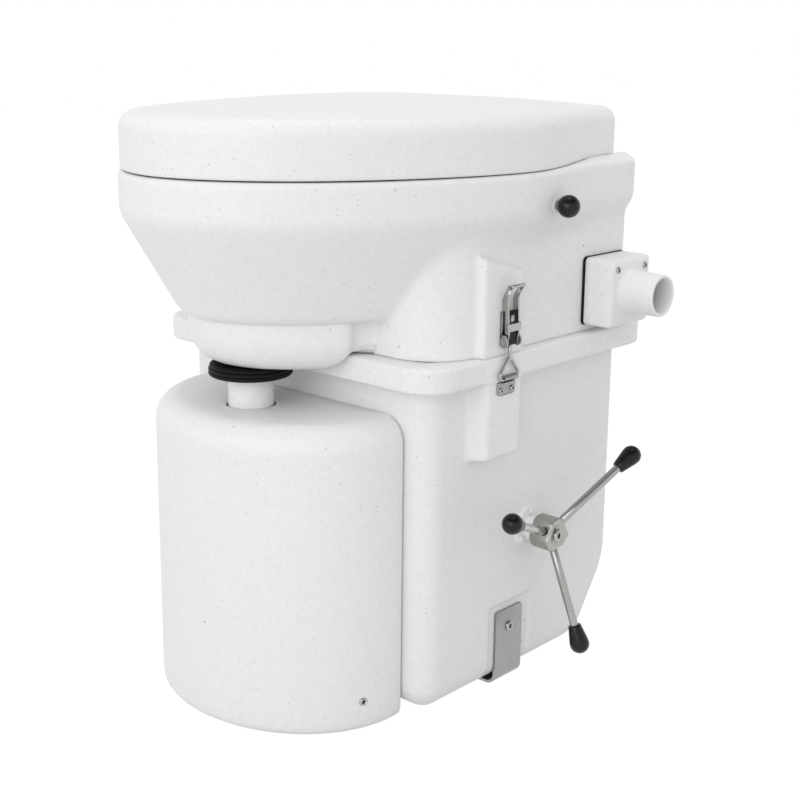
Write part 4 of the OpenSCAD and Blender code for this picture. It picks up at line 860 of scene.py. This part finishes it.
class TOILET_OT_bottle(bpy.types.Operator):
    """Makes the bottle housing, the bottle with its neck, and the lobed gasket"""

    bl_idname = "toilet.bottle"
    bl_label = "Urine bottle"

    def execute(self, context):
        neck_y, high, r = -174.0, 268.5, size("housing_edge")
        rays = Rays((0.0, neck_y), housing_plan([0.0]), [0.0], 400)
        # the outline drawn in by each inset, a row for each
        draw = lambda *inset: rays.reach(housing_plan(inset), np.zeros(len(inset)))
        t = arc(0, 90, 14)
        z = np.concatenate([[0, 0.6, 1.8, 3.6, 6.2, 10], np.linspace(20, high - r - 4, 20),
                            high - r + r * np.sin(t)])
        outline = draw(6.2, 4.2, 2.6, 1.2, 0.35, 0, *[0] * 20, *r * (1 - np.cos(t)))
        s = np.array([0.3, 0.6, 0.85, 1.0])[:, None]
        wall = np.minimum(draw(22, 7, 3.5, 3.5, 3.5, 3.5, 5, 7.6), draw(0.0) - 2)
        rows = [(outline, z), (outline[-1] * (1 - s) + 22.6 * s, np.full(4, high)),
                ([21.9, 21.5, 21.5], [268.2, 267.4, 265.2]),
                (wall, [265, 259, 246, 200, 100, 10, 4, 0.2])]
        mesh = surface(rays.stack(rows), "ring")
        place("bottle_casing", "bottle", "polyethylene", [mesh], "bottle_housing")

        seats = [((s * 121.5, -160.8, 27.0), (s * 0.949, -0.314, 0)) for s in (1, -1)]
        button_heads("casing_screws", "bottle", seats, 3.7, 2.1, "housing_screws")

        body = draw(20, 18.5, 17, 16.2, 16, 16, 16, 16, 16, 17.5, 21, 27, 34)
        rows = [(np.minimum(body, draw(0.0) - 14),
                 [4.05, 4.5, 6, 9, 14, 60, 120, 180, 236, 246, 252, 255.5, 257]),
                ([24, 20.5, 19.5, 19.5, 19.5, 19.2, 18.4, 17.4, 16.8, 16.5, 16.5, 10],
                 [257, 257.6, 260, 275, 298.6, 299.5, 300, 300, 299.6, 299, 262, 255])]
        mesh = surface(rays.stack(rows))
        place("bottle_body", "bottle", "natural_hdpe", [mesh], "urine_bottle")

        profile = [(294.62, 19.7), (294.62, 32.6)]
        for z, r, lobe in ((296.6, 34.0, 2.0), (299.8, 34.0, 2.0), (302.8, 33.0, 1.75)):
            t = arc(-68, 68, 7)
            profile += list(zip(z + lobe * np.sin(t), r + 2.0 * np.cos(t)))
        profile += [(304.58, 31.0), (304.58, 16.7), (300.2, 16.7), (300.2, 19.7)]
        mesh = turned(profile, (0, neck_y, 0), (0, 0, 1), 160, "ring")
        place("neck_seal", "bottle", "black_rubber", [mesh], "neck_gasket")
        return {"FINISHED"}


# ---------------------------------------------------------------- vent

VENT_Y, VENT_Z, VENT_X = 109.0, 354.5, 194.0


class TOILET_OT_vent(bpy.types.Operator):
    """Makes the vent housing with its tapered spout, and the ball knob of the trap door"""

    bl_idname = "toilet.vent"
    bl_label = "Vent housing and ball knob"

    def execute(self, context):
        plan = lambda y, z, x: rect(y - VENT_Y, z - VENT_Z, 31.25, -30.75, 30.75, 4.5)
        rays = Rays((VENT_Y, VENT_Z), plan, [0.0], 200)
        t, edge = arc(0, 90, 6), 4.5
        x = np.concatenate([[165.5, 166, 172, 182], VENT_X - edge + edge * np.sin(t)])
        box = rays.reach(plan, x, np.concatenate([[0.6, 0, 0, 0], edge * (1 - np.cos(t))]), 60.0)
        back = rays.reach(plan, [0, 0, 0], [4.0, 2.5, 2.5], 60.0)
        spout = [(194.0, 21.8), (194.2, 21.1), (194.7, 20.5), (195.6, 20.15), (205.0, 19.7),
                 (216.0, 19.2), (226.9, 18.8), (227.6, 18.5), (228.0, 17.9), (228.0, 16.7),
                 (227.7, 16.1), (227.0, 15.8), (215.0, 15.8), (192.5, 15.8), (191.5, 16.4)]
        along, radii = zip(*spout)
        rows = [(box, x), (box[-1:] * 0.5 + 11.6, [VENT_X]), (radii, along),
                (back, [191.5, 190, 165.5])]
        mesh = surface(to_x(rays.stack(rows)), "ring")
        place("vent_cover", "head", "polyethylene", [mesh], "vent_housing")

        out = rays.reach(plan, [0] * 4, [0.0, -0.45, -0.45, 0.0], 60.0)
        rows = [rays.points(out, [163.1, 163.3, 165.0, 165.4]),
                rays.points([24.0, 24.0], [165.4, 163.1])]
        mesh = surface(to_x(np.concatenate(rows)), "ring")
        place("vent_seal", "head", "black_rubber", [mesh], "vent_gasket")

        seats = [((VENT_X, y, 376.0), (1, 0, 0)) for y in (87.5, 130.5)]
        seats += [((-172.0, y, VENT_Z), (-1, 0, 0)) for y in (81.0, 137.0)]
        button_heads("vent_cover_screws", "head", seats, 3.1, 1.6, "vent_screws")

        r = size("ball")
        t = arc(-142, 88, 26)
        ball = zip(191 + r * np.sin(t), r * np.cos(t))
        neck = [(180.25, 3.2), (180.25, 3.6), (182.6, 3.8)]
        mesh = turned(neck + [p for p in ball if p[0] > 182.4], (0, 13, 438.5), (1, 0, 0), 96)
        place("ball_knob", "trap_door", "black_phenolic", [mesh], "trap_door_knob")
        return {"FINISHED"}


# ---------------------------------------------------------------- the handle

HUB_Y, HUB_Z = 22.5, 143.0
ROD_TILT = math.radians(16.5)
ROD_ANGLES = (36.5, 156.5, 276.5)


def hub_plan(y, z, x):
    """A round bar with a flat across each rod, and a small lug: the largest of the circle's
    distance and the flats' distances, and the least of that and the lug's."""
    d = np.hypot(y, z) - 15.6
    for n in np.radians(ROD_ANGLES):
        d = smax(d, y * math.cos(n) + z * math.sin(n) - 13.2, 0.8)
    return smin(d, np.hypot(y - 14.4, z + 3.5) - 3.2, 1.5)


def spokes(profile, count, ends, angles=ROD_ANGLES):
    """A profile turned about each rod: out from the hub, and tilted away from the tank."""
    flat, tilt = math.cos(ROD_TILT), math.sin(ROD_TILT)
    return [turned(profile, (176.0, HUB_Y, HUB_Z), (tilt, flat * math.cos(a), flat * math.sin(a)),
                   count, ends) for a in np.radians(angles)]


class TOILET_OT_handle(bpy.types.Operator):
    """Makes the spider handle: a machined hub with three flats, and three rods with collars and
    tapered knobs"""

    bl_idname = "toilet.handle"
    bl_label = "Spider handle"

    def execute(self, context):
        rays = Rays((0.0, 0.0), hub_plan, [0.0], 180)
        x = [165.0, 164.9, 165.3, 166.2, 176, 184.2, 185.2, 185.8, 186.0, 186.0, 185.4, 185.4]
        inset = [3.0, 1.6, 0.6, 0, 0, 0, 0.3, 0.9, 1.8, 6.2, 6.6, 8.8]
        back = rays.points([8.2, 12.5, 12.5], [168.3, 168.3, 165.2])
        rows = to_x(np.concatenate([back, rays.wall(hub_plan, x, inset, 40.0)]))
        place("handle_hub", "agitator", "machined", [surface(rows + [0, HUB_Y, HUB_Z])],
              "spider_hub")
        seats = [((185.4, HUB_Y, HUB_Z), (1, 0, 0))]
        button_heads("hub_bolt", "agitator", seats, 5.8, 2.6, "spider_bolt")

        r = size("grip")
        t = arc(4, 88, 12)
        grip = [(88.9, 4.2), (88.7, 4.8), (88.9, 5.5), (89.8, 5.9), (94, 6.7), (100, 7.9),
                (104, 8.7), *zip(106.7 + r * np.sin(t), r * np.cos(t))]
        rod = [(11, 3.2), (11.5, 3.75), (50, 3.75), (89.5, 3.75), (101, 3.7)]
        collar = [(12.6, 3.8), (12.6, 5.1), (16.3, 5.1), (16.9, 4.8), (17.1, 4.3), (16.6, 3.8)]
        snug = [(12.6, 3.8), (12.6, 4.5), (14.6, 4.5), (15.0, 4.2), (15.1, 3.8)]
        collars = spokes(collar, 56, "ring", ROD_ANGLES[1:2])
        collars += spokes(snug, 56, "ring", ROD_ANGLES[::2])
        for name, look, meshes, node in (
                ("handle_knobs", "black_phenolic", spokes(grip, 72, "poles"), "spider_knobs"),
                ("handle_rods", "rod", spokes(rod, 40, "poles"), "spider_rods"),
                ("handle_collars", "polished", collars, "spider_collars")):
            place(name, "agitator", look, meshes, node)
        return {"FINISHED"}


# ---------------------------------------------------------------- the latches

LATCH_Y = -42.0
PIN_X, PIN_Z = 175.4, 329.6
WIRE_X, WIRE_LOW = 175.6, 297.6
PLATE_X = 172.75
STRAP_OUT = 5.4
ALONG_X, ALONG_Y, ALONG_Z = (1, 0, 0), (0, 1, 0), (0, 0, 1)


def from_pin(*points):
    """Points given from the rivet: out, along the tank, and up."""
    return [(PIN_X + x, LATCH_Y + y, PIN_Z + z) for x, y, z in points]


def lever(out):
    """A lever's parts: two deep side plates that lean out at the top, a web across their tips, a
    strap across their fronts, and the barrel on the rivet. out scales how far it stands out."""
    rail = rounded(from_pin((0.9 * out, 0, -2.4), (1.7 * out, 0, 8), (-0.1, 0, 36.5),
                            (5.3 * out, 0, 46.6)), 9.0)
    up = rail[:, 2] - PIN_Z
    deep = np.interp(up, [-2.4, 4, 34, 46], [0.55, 1, 1, 0.72])
    scale = np.stack([np.ones(len(up)), deep], 1)[:, None]
    apart = np.interp(up, [4, 34, 46], [6.5, 6.9, 7.6])[:, None] * ALONG_Y
    tip = rounded(from_pin((3.0 * out, 0, 47.0), (7.7 * out, 0, 48.5), (8.2 * out, 0, 46.2)),
                  1.2, 5)
    front = STRAP_OUT * out
    strap = rounded(from_pin((front - 2.5, -8.0, 12.5), (front, -8.0, 12.5), (front, 8.0, 12.5),
                             (front - 2.5, 8.0, 12.5)), 1.2)
    return [
        *[carried(rail + s * apart, strip(1.4, 6.2, 0.55), ALONG_Y, scale=scale) for s in (-1, 1)],
        carried(tip, strip(16.8, 1.4, 0.6), ALONG_Y),
        carried(strap, strip(6.6, 1.0, 0.4), ALONG_Z),
        turned([(-6.0, 1.6), (-6.2, 2.4), (6.2, 2.4), (6.0, 1.6)], *from_pin((0, 0, 0)), ALONG_Y,
               32),
    ]


def ears_and_plate(out):
    """A base's parts: a plate on the pad, and two ears about the rivet with an edge above each."""
    def ear(x, z, y):
        """A round end about the rivet and a rectangle on the pad."""
        foot = rect(z - (PIN_Z + 1.6), x, 4.4, 172.1, 178.6, 1.0)
        return smin(np.hypot(x - PIN_X - 0.6 * out, z - PIN_Z) - 2.7 - 2.2 * out, foot, 1.2)

    parts = []
    for y in (LATCH_Y - 9.6, LATCH_Y + 8.2):
        parts.append(bar(ear, (175.2, PIN_Z), y, y + 1.4, 0.4, to_y, 56))
        edge = [(173.2, y + 0.7, PIN_Z + 4), (173.2, y + 0.7, PIN_Z + 25.5)]
        parts.append(carried(edge, strip(1.4, 2.2, 0.35), ALONG_Y))
    plate = [(172.65, LATCH_Y, PIN_Z + 3), (172.65, LATCH_Y, PIN_Z + 25)]
    return parts + [carried(plate, strip(18.6, 1.1, 0.4), ALONG_Y)]


def loop():
    """A wire triangle under the hook, and the rod that pulls it."""
    half = [(0, 0), (11.6, 0), (12.0, 5), (1.6, 17.4)]
    both = half + [(-y, z) for y, z in half[::-1]]
    path = rounded([(WIRE_X, LATCH_Y + y, WIRE_LOW + z) for y, z in both], 2.2)[1:]
    rod = [(312.5, 1.1), (313.0, 1.5), (327.0, 1.5), (327.5, 1.1)]
    return [carried(path, wire(1.35), ALONG_X, "ring"),
            turned(rod, (WIRE_X, LATCH_Y, 0), ALONG_Z, 28)]


def keeper():
    """A hook rolled over the wire, and a plate whose lower corners are round: the plate is
    narrower by 2 (r - sqrt(r^2 - (r - height)^2)) below the height r."""
    t = arc(180, -14, 16)
    curl = np.stack([175.3 + 2.55 * np.cos(t), 0 * t + LATCH_Y, WIRE_LOW + 2.55 * np.sin(t)], 1)
    path = np.concatenate([[(PLATE_X, LATCH_Y, 293.5), (PLATE_X, LATCH_Y, 295.5)], curl])
    up, low, width, r = np.linspace(0, 12, 8), 283.0, 24.0, 3.2
    less = 2 * (r - np.sqrt(r ** 2 - (r - np.minimum(up, r)) ** 2))
    scale = np.stack([1 - less / width, np.ones(8)], 1)[:, None]
    plate = np.stack([0 * up + PLATE_X, 0 * up + LATCH_Y, low + up], 1)
    return [carried(path + [0, 1.0, 0], strip(17.4, 1.2, 0.45), ALONG_Y),
            carried(plate, strip(width, 1.2, 0.45), ALONG_Y, scale=scale)]


class TOILET_OT_latches(bpy.types.Operator):
    """Makes both draw latches: bases, levers with their black inserts, wire loops and hooked
    keepers"""

    bl_idname = "toilet.latches"
    bl_label = "Draw latches"

    def execute(self, context):
        # on the left a lever stands out less, so that it stays inside the seat's widest point
        for side, tag, out in ((1, "_right", 1.0), (-1, "_left", 0.33)):
            insert = from_pin((1.3 * out, 0, -2.7), (1.0 * out, 0, 25.3))
            front = STRAP_OUT * out
            tongue = from_pin((front - 2.1, -1.6, 14), (front - 2.2, -1.6, 22.6))
            for name, body, look, meshes, nodes in (
                    ("latch_lever", "latch_lever" + tag, "polished", lever(out), ["latch_lever"]),
                    ("latch_insert", "latch_lever" + tag, "dark_plastic",
                     [carried(insert, strip(11.6, 3.2, 0.8), ALONG_Y)], ["latch_pad"]),
                    ("latch_tongue", "latch_lever" + tag, "machined",
                     [carried(tongue, strip(4.4, 0.9, 0.35), ALONG_Y)], []),
                    ("latch_base", "head", "stainless", ears_and_plate(out), ["latch_base"]),
                    ("latch_loop", "latch_loop" + tag, "polished", loop(), ["latch_loop"]),
                    ("latch_keeper", "base", "stainless", keeper(), ["latch_keeper"])):
                mesh = joined(meshes)
                if side < 0:
                    mesh.transform(Matrix.Scale(-1, 4, ALONG_X))
                    mesh.flip_normals()
                place(name + tag, body, look, [mesh], *[n + tag for n in nodes])
        seats = [((s * 173.5, y, 287.5), (s, 0, 0)) for s in (1, -1) for y in (-49.5, -34.5)]
        button_heads("keeper_plate_screws", "base", seats, 2.8, 1.3, "keeper_screws")
        seats = [((s * 151.5, 0, 53.0), (s, 0, 0)) for s in (1, -1)]
        button_heads("strap_screws", "base", seats, 4.6, 2.3, "bracket_screws")
        return {"FINISHED"}


class TOILET_OT_finishes(bpy.types.Operator):
    """Gives every CAD node that still shows its material"""

    bl_idname = "toilet.finishes"
    bl_label = "Finishes of the other parts"

    def execute(self, context):
        slots = {s["node"]: s["material_slot"] for s in frame["record"]["subparts"]}
        for name, obj in frame["nodes"].items():
            slot = slots[name]
            obj.data.materials.clear()
            obj.data.materials.append(finish("polished" if name == "latch_rivets" else slot))
        return {"FINISHED"}


# ---------------------------------------------------------------- the stage

LAMPS = {"key": ((1.0, -2.4, 1.0), 12.9), "side": ((-0.3, -2.6, 1.3), 6.2),
         "top": ((0.0, 0.1, 2.5), 7.0)}
LAMP_SIZE = 1.6
LAMP_AIM = Vector((0, -0.05, 0.3))
EYE = Vector((0.85256, -0.92245, 0.57451))
EYE_TURN, EYE_DOWN, EYE_ROLL = np.radians([42.28, 13.33, 0.58]).tolist()
PIXELS = 800
FOCAL_PIXELS = 1361.02
SHIFT_PIXELS = -40
SENSOR = 36.0


def seen_directly(t):
    """1 for a ray that the camera, a gloss or a clear piece sends, else 0."""
    path = add(t, "ShaderNodeLightPath").outputs
    value = path["Is Camera Ray"]
    for kind in ("Is Glossy Ray", "Is Transmission Ray"):
        value = add(t, "ShaderNodeMath", {0: value, 1: path[kind]}, operation="MAXIMUM").outputs[0]
    return value


def floor_look():
    """A pale matt floor that the camera sees mostly as white light, so that only the shadow
    shows."""
    m = bpy.data.materials.new("white_floor")
    t = emptied(m)
    share = add(t, "ShaderNodeMath", {0: seen_directly(t), 1: 0.88}, operation="MULTIPLY")
    lit = add(t, "ShaderNodeBsdfDiffuse", {"Color": linear("#D0D0D0")})
    glow = add(t, "ShaderNodeEmission", {"Color": linear("#FFFFFF"), "Strength": 1.12})
    values = {0: share.outputs[0], 1: lit.outputs[0], 2: glow.outputs[0]}
    mix = add(t, "ShaderNodeMixShader", values)
    add(t, "ShaderNodeOutputMaterial", {"Surface": mix.outputs[0]})
    return m


def studio():
    """A world that fills evenly. A ray that sees it directly meets white up to an elevation of
    z 0.3, and less above, down to 0.3 at z 0.75, which gives gloss and metal something dark."""
    world = bpy.data.worlds.new("studio")
    t = emptied(world)
    way = add(t, "ShaderNodeSeparateXYZ", {0: add(t, "ShaderNodeTexCoord").outputs["Generated"]})
    values = {"Value": way.outputs["Z"], "From Min": 0.3, "From Max": 0.75, "To Min": 1.0,
              "To Max": 0.3}
    sky = add(t, "ShaderNodeMapRange", values, interpolation_type="SMOOTHSTEP").outputs[0]
    fill, white = [add(t, "ShaderNodeBackground", {"Color": linear("#FFFFFF"), "Strength": s})
                   for s in (0.834, sky)]
    values = {0: seen_directly(t), 1: fill.outputs[0], 2: white.outputs[0]}
    mix = add(t, "ShaderNodeMixShader", values)
    add(t, "ShaderNodeOutputWorld", {"Surface": mix.outputs[0]})
    return world


class TOILET_OT_stage(bpy.types.Operator):
    """Makes the floor, the lamps, the world and the camera"""

    bl_idname = "toilet.stage"
    bl_label = "Stage"

    def execute(self, context):
        scene = context.scene
        mesh = bpy.data.meshes.new("floor")
        e = 6.0
        mesh.from_pydata([(-e, -e, 0), (e, -e, 0), (e, e, 0), (-e, e, 0)], [], [(0, 1, 2, 3)])
        mesh.materials.append(floor_look())
        floor = bpy.data.objects.new("floor", mesh)
        scene.collection.objects.link(floor)
        scene.world = studio()

        for name, (at, power) in LAMPS.items():
            lamp = bpy.data.lights.new(name, "AREA")
            lamp.shape, lamp.size, lamp.energy = "SQUARE", LAMP_SIZE, power
            obj = bpy.data.objects.new(name, lamp)
            scene.collection.objects.link(obj)
            obj.location = at
            obj.rotation_euler = (LAMP_AIM - Vector(at)).to_track_quat("-Z", "Y").to_euler()

        ahead = Vector((-math.sin(EYE_TURN) * math.cos(EYE_DOWN),
                        math.cos(EYE_TURN) * math.cos(EYE_DOWN), -math.sin(EYE_DOWN)))
        level = Vector((math.cos(EYE_TURN), math.sin(EYE_TURN), 0))
        upright = level.cross(ahead)
        right = level * math.cos(EYE_ROLL) + upright * math.sin(EYE_ROLL)
        up = upright * math.cos(EYE_ROLL) - level * math.sin(EYE_ROLL)
        data = bpy.data.cameras.new("camera")
        data.sensor_width = SENSOR
        data.lens = SENSOR * FOCAL_PIXELS / PIXELS
        data.shift_y = SHIFT_PIXELS / PIXELS
        data.clip_end = 50.0
        cam = bpy.data.objects.new("camera", data)
        scene.collection.objects.link(cam)
        columns = [v.to_4d() for v in (right, up, -ahead, EYE)]
        for v in columns[:3]:
            v.w = 0
        cam.matrix_world = Matrix(columns).transposed()
        scene.camera = cam
        scene.view_settings.view_transform = "Standard"
        return {"FINISHED"}


class TOILET_PT_panel(bpy.types.Panel):
    """Lists the steps and the settings in the 3D view's sidebar"""

    bl_idname = "TOILET_PT_panel"
    bl_label = "Composting toilet"
    bl_space_type = "VIEW_3D"
    bl_region_type = "UI"
    bl_category = "Toilet"

    def draw(self, context):
        for group in (context.scene.toilet_sizes, context.scene.toilet_looks):
            for key in group.__annotations__:
                self.layout.prop(group, key)
        for step in STEPS:
            self.layout.operator(step.bl_idname)


STEPS = (TOILET_OT_stage, TOILET_OT_finishes, TOILET_OT_tank, TOILET_OT_head, TOILET_OT_bowl,
         TOILET_OT_lid, TOILET_OT_bottle, TOILET_OT_vent, TOILET_OT_handle, TOILET_OT_latches)
CLASSES = (ToiletSizes, ToiletLooks, *STEPS, TOILET_PT_panel)


def register():
    for c in CLASSES:
        bpy.utils.register_class(c)
    bpy.types.Scene.toilet_sizes = bpy.props.PointerProperty(type=ToiletSizes)
    bpy.types.Scene.toilet_looks = bpy.props.PointerProperty(type=ToiletLooks)


def unregister():
    del bpy.types.Scene.toilet_looks
    del bpy.types.Scene.toilet_sizes
    for c in reversed(CLASSES):
        bpy.utils.unregister_class(c)


def main():
    """Makes every piece in order."""
    register()
    for step in STEPS:
        group, name = step.bl_idname.split(".")
        getattr(getattr(bpy.ops, group), name)()


if __name__ == "__main__":
    main()
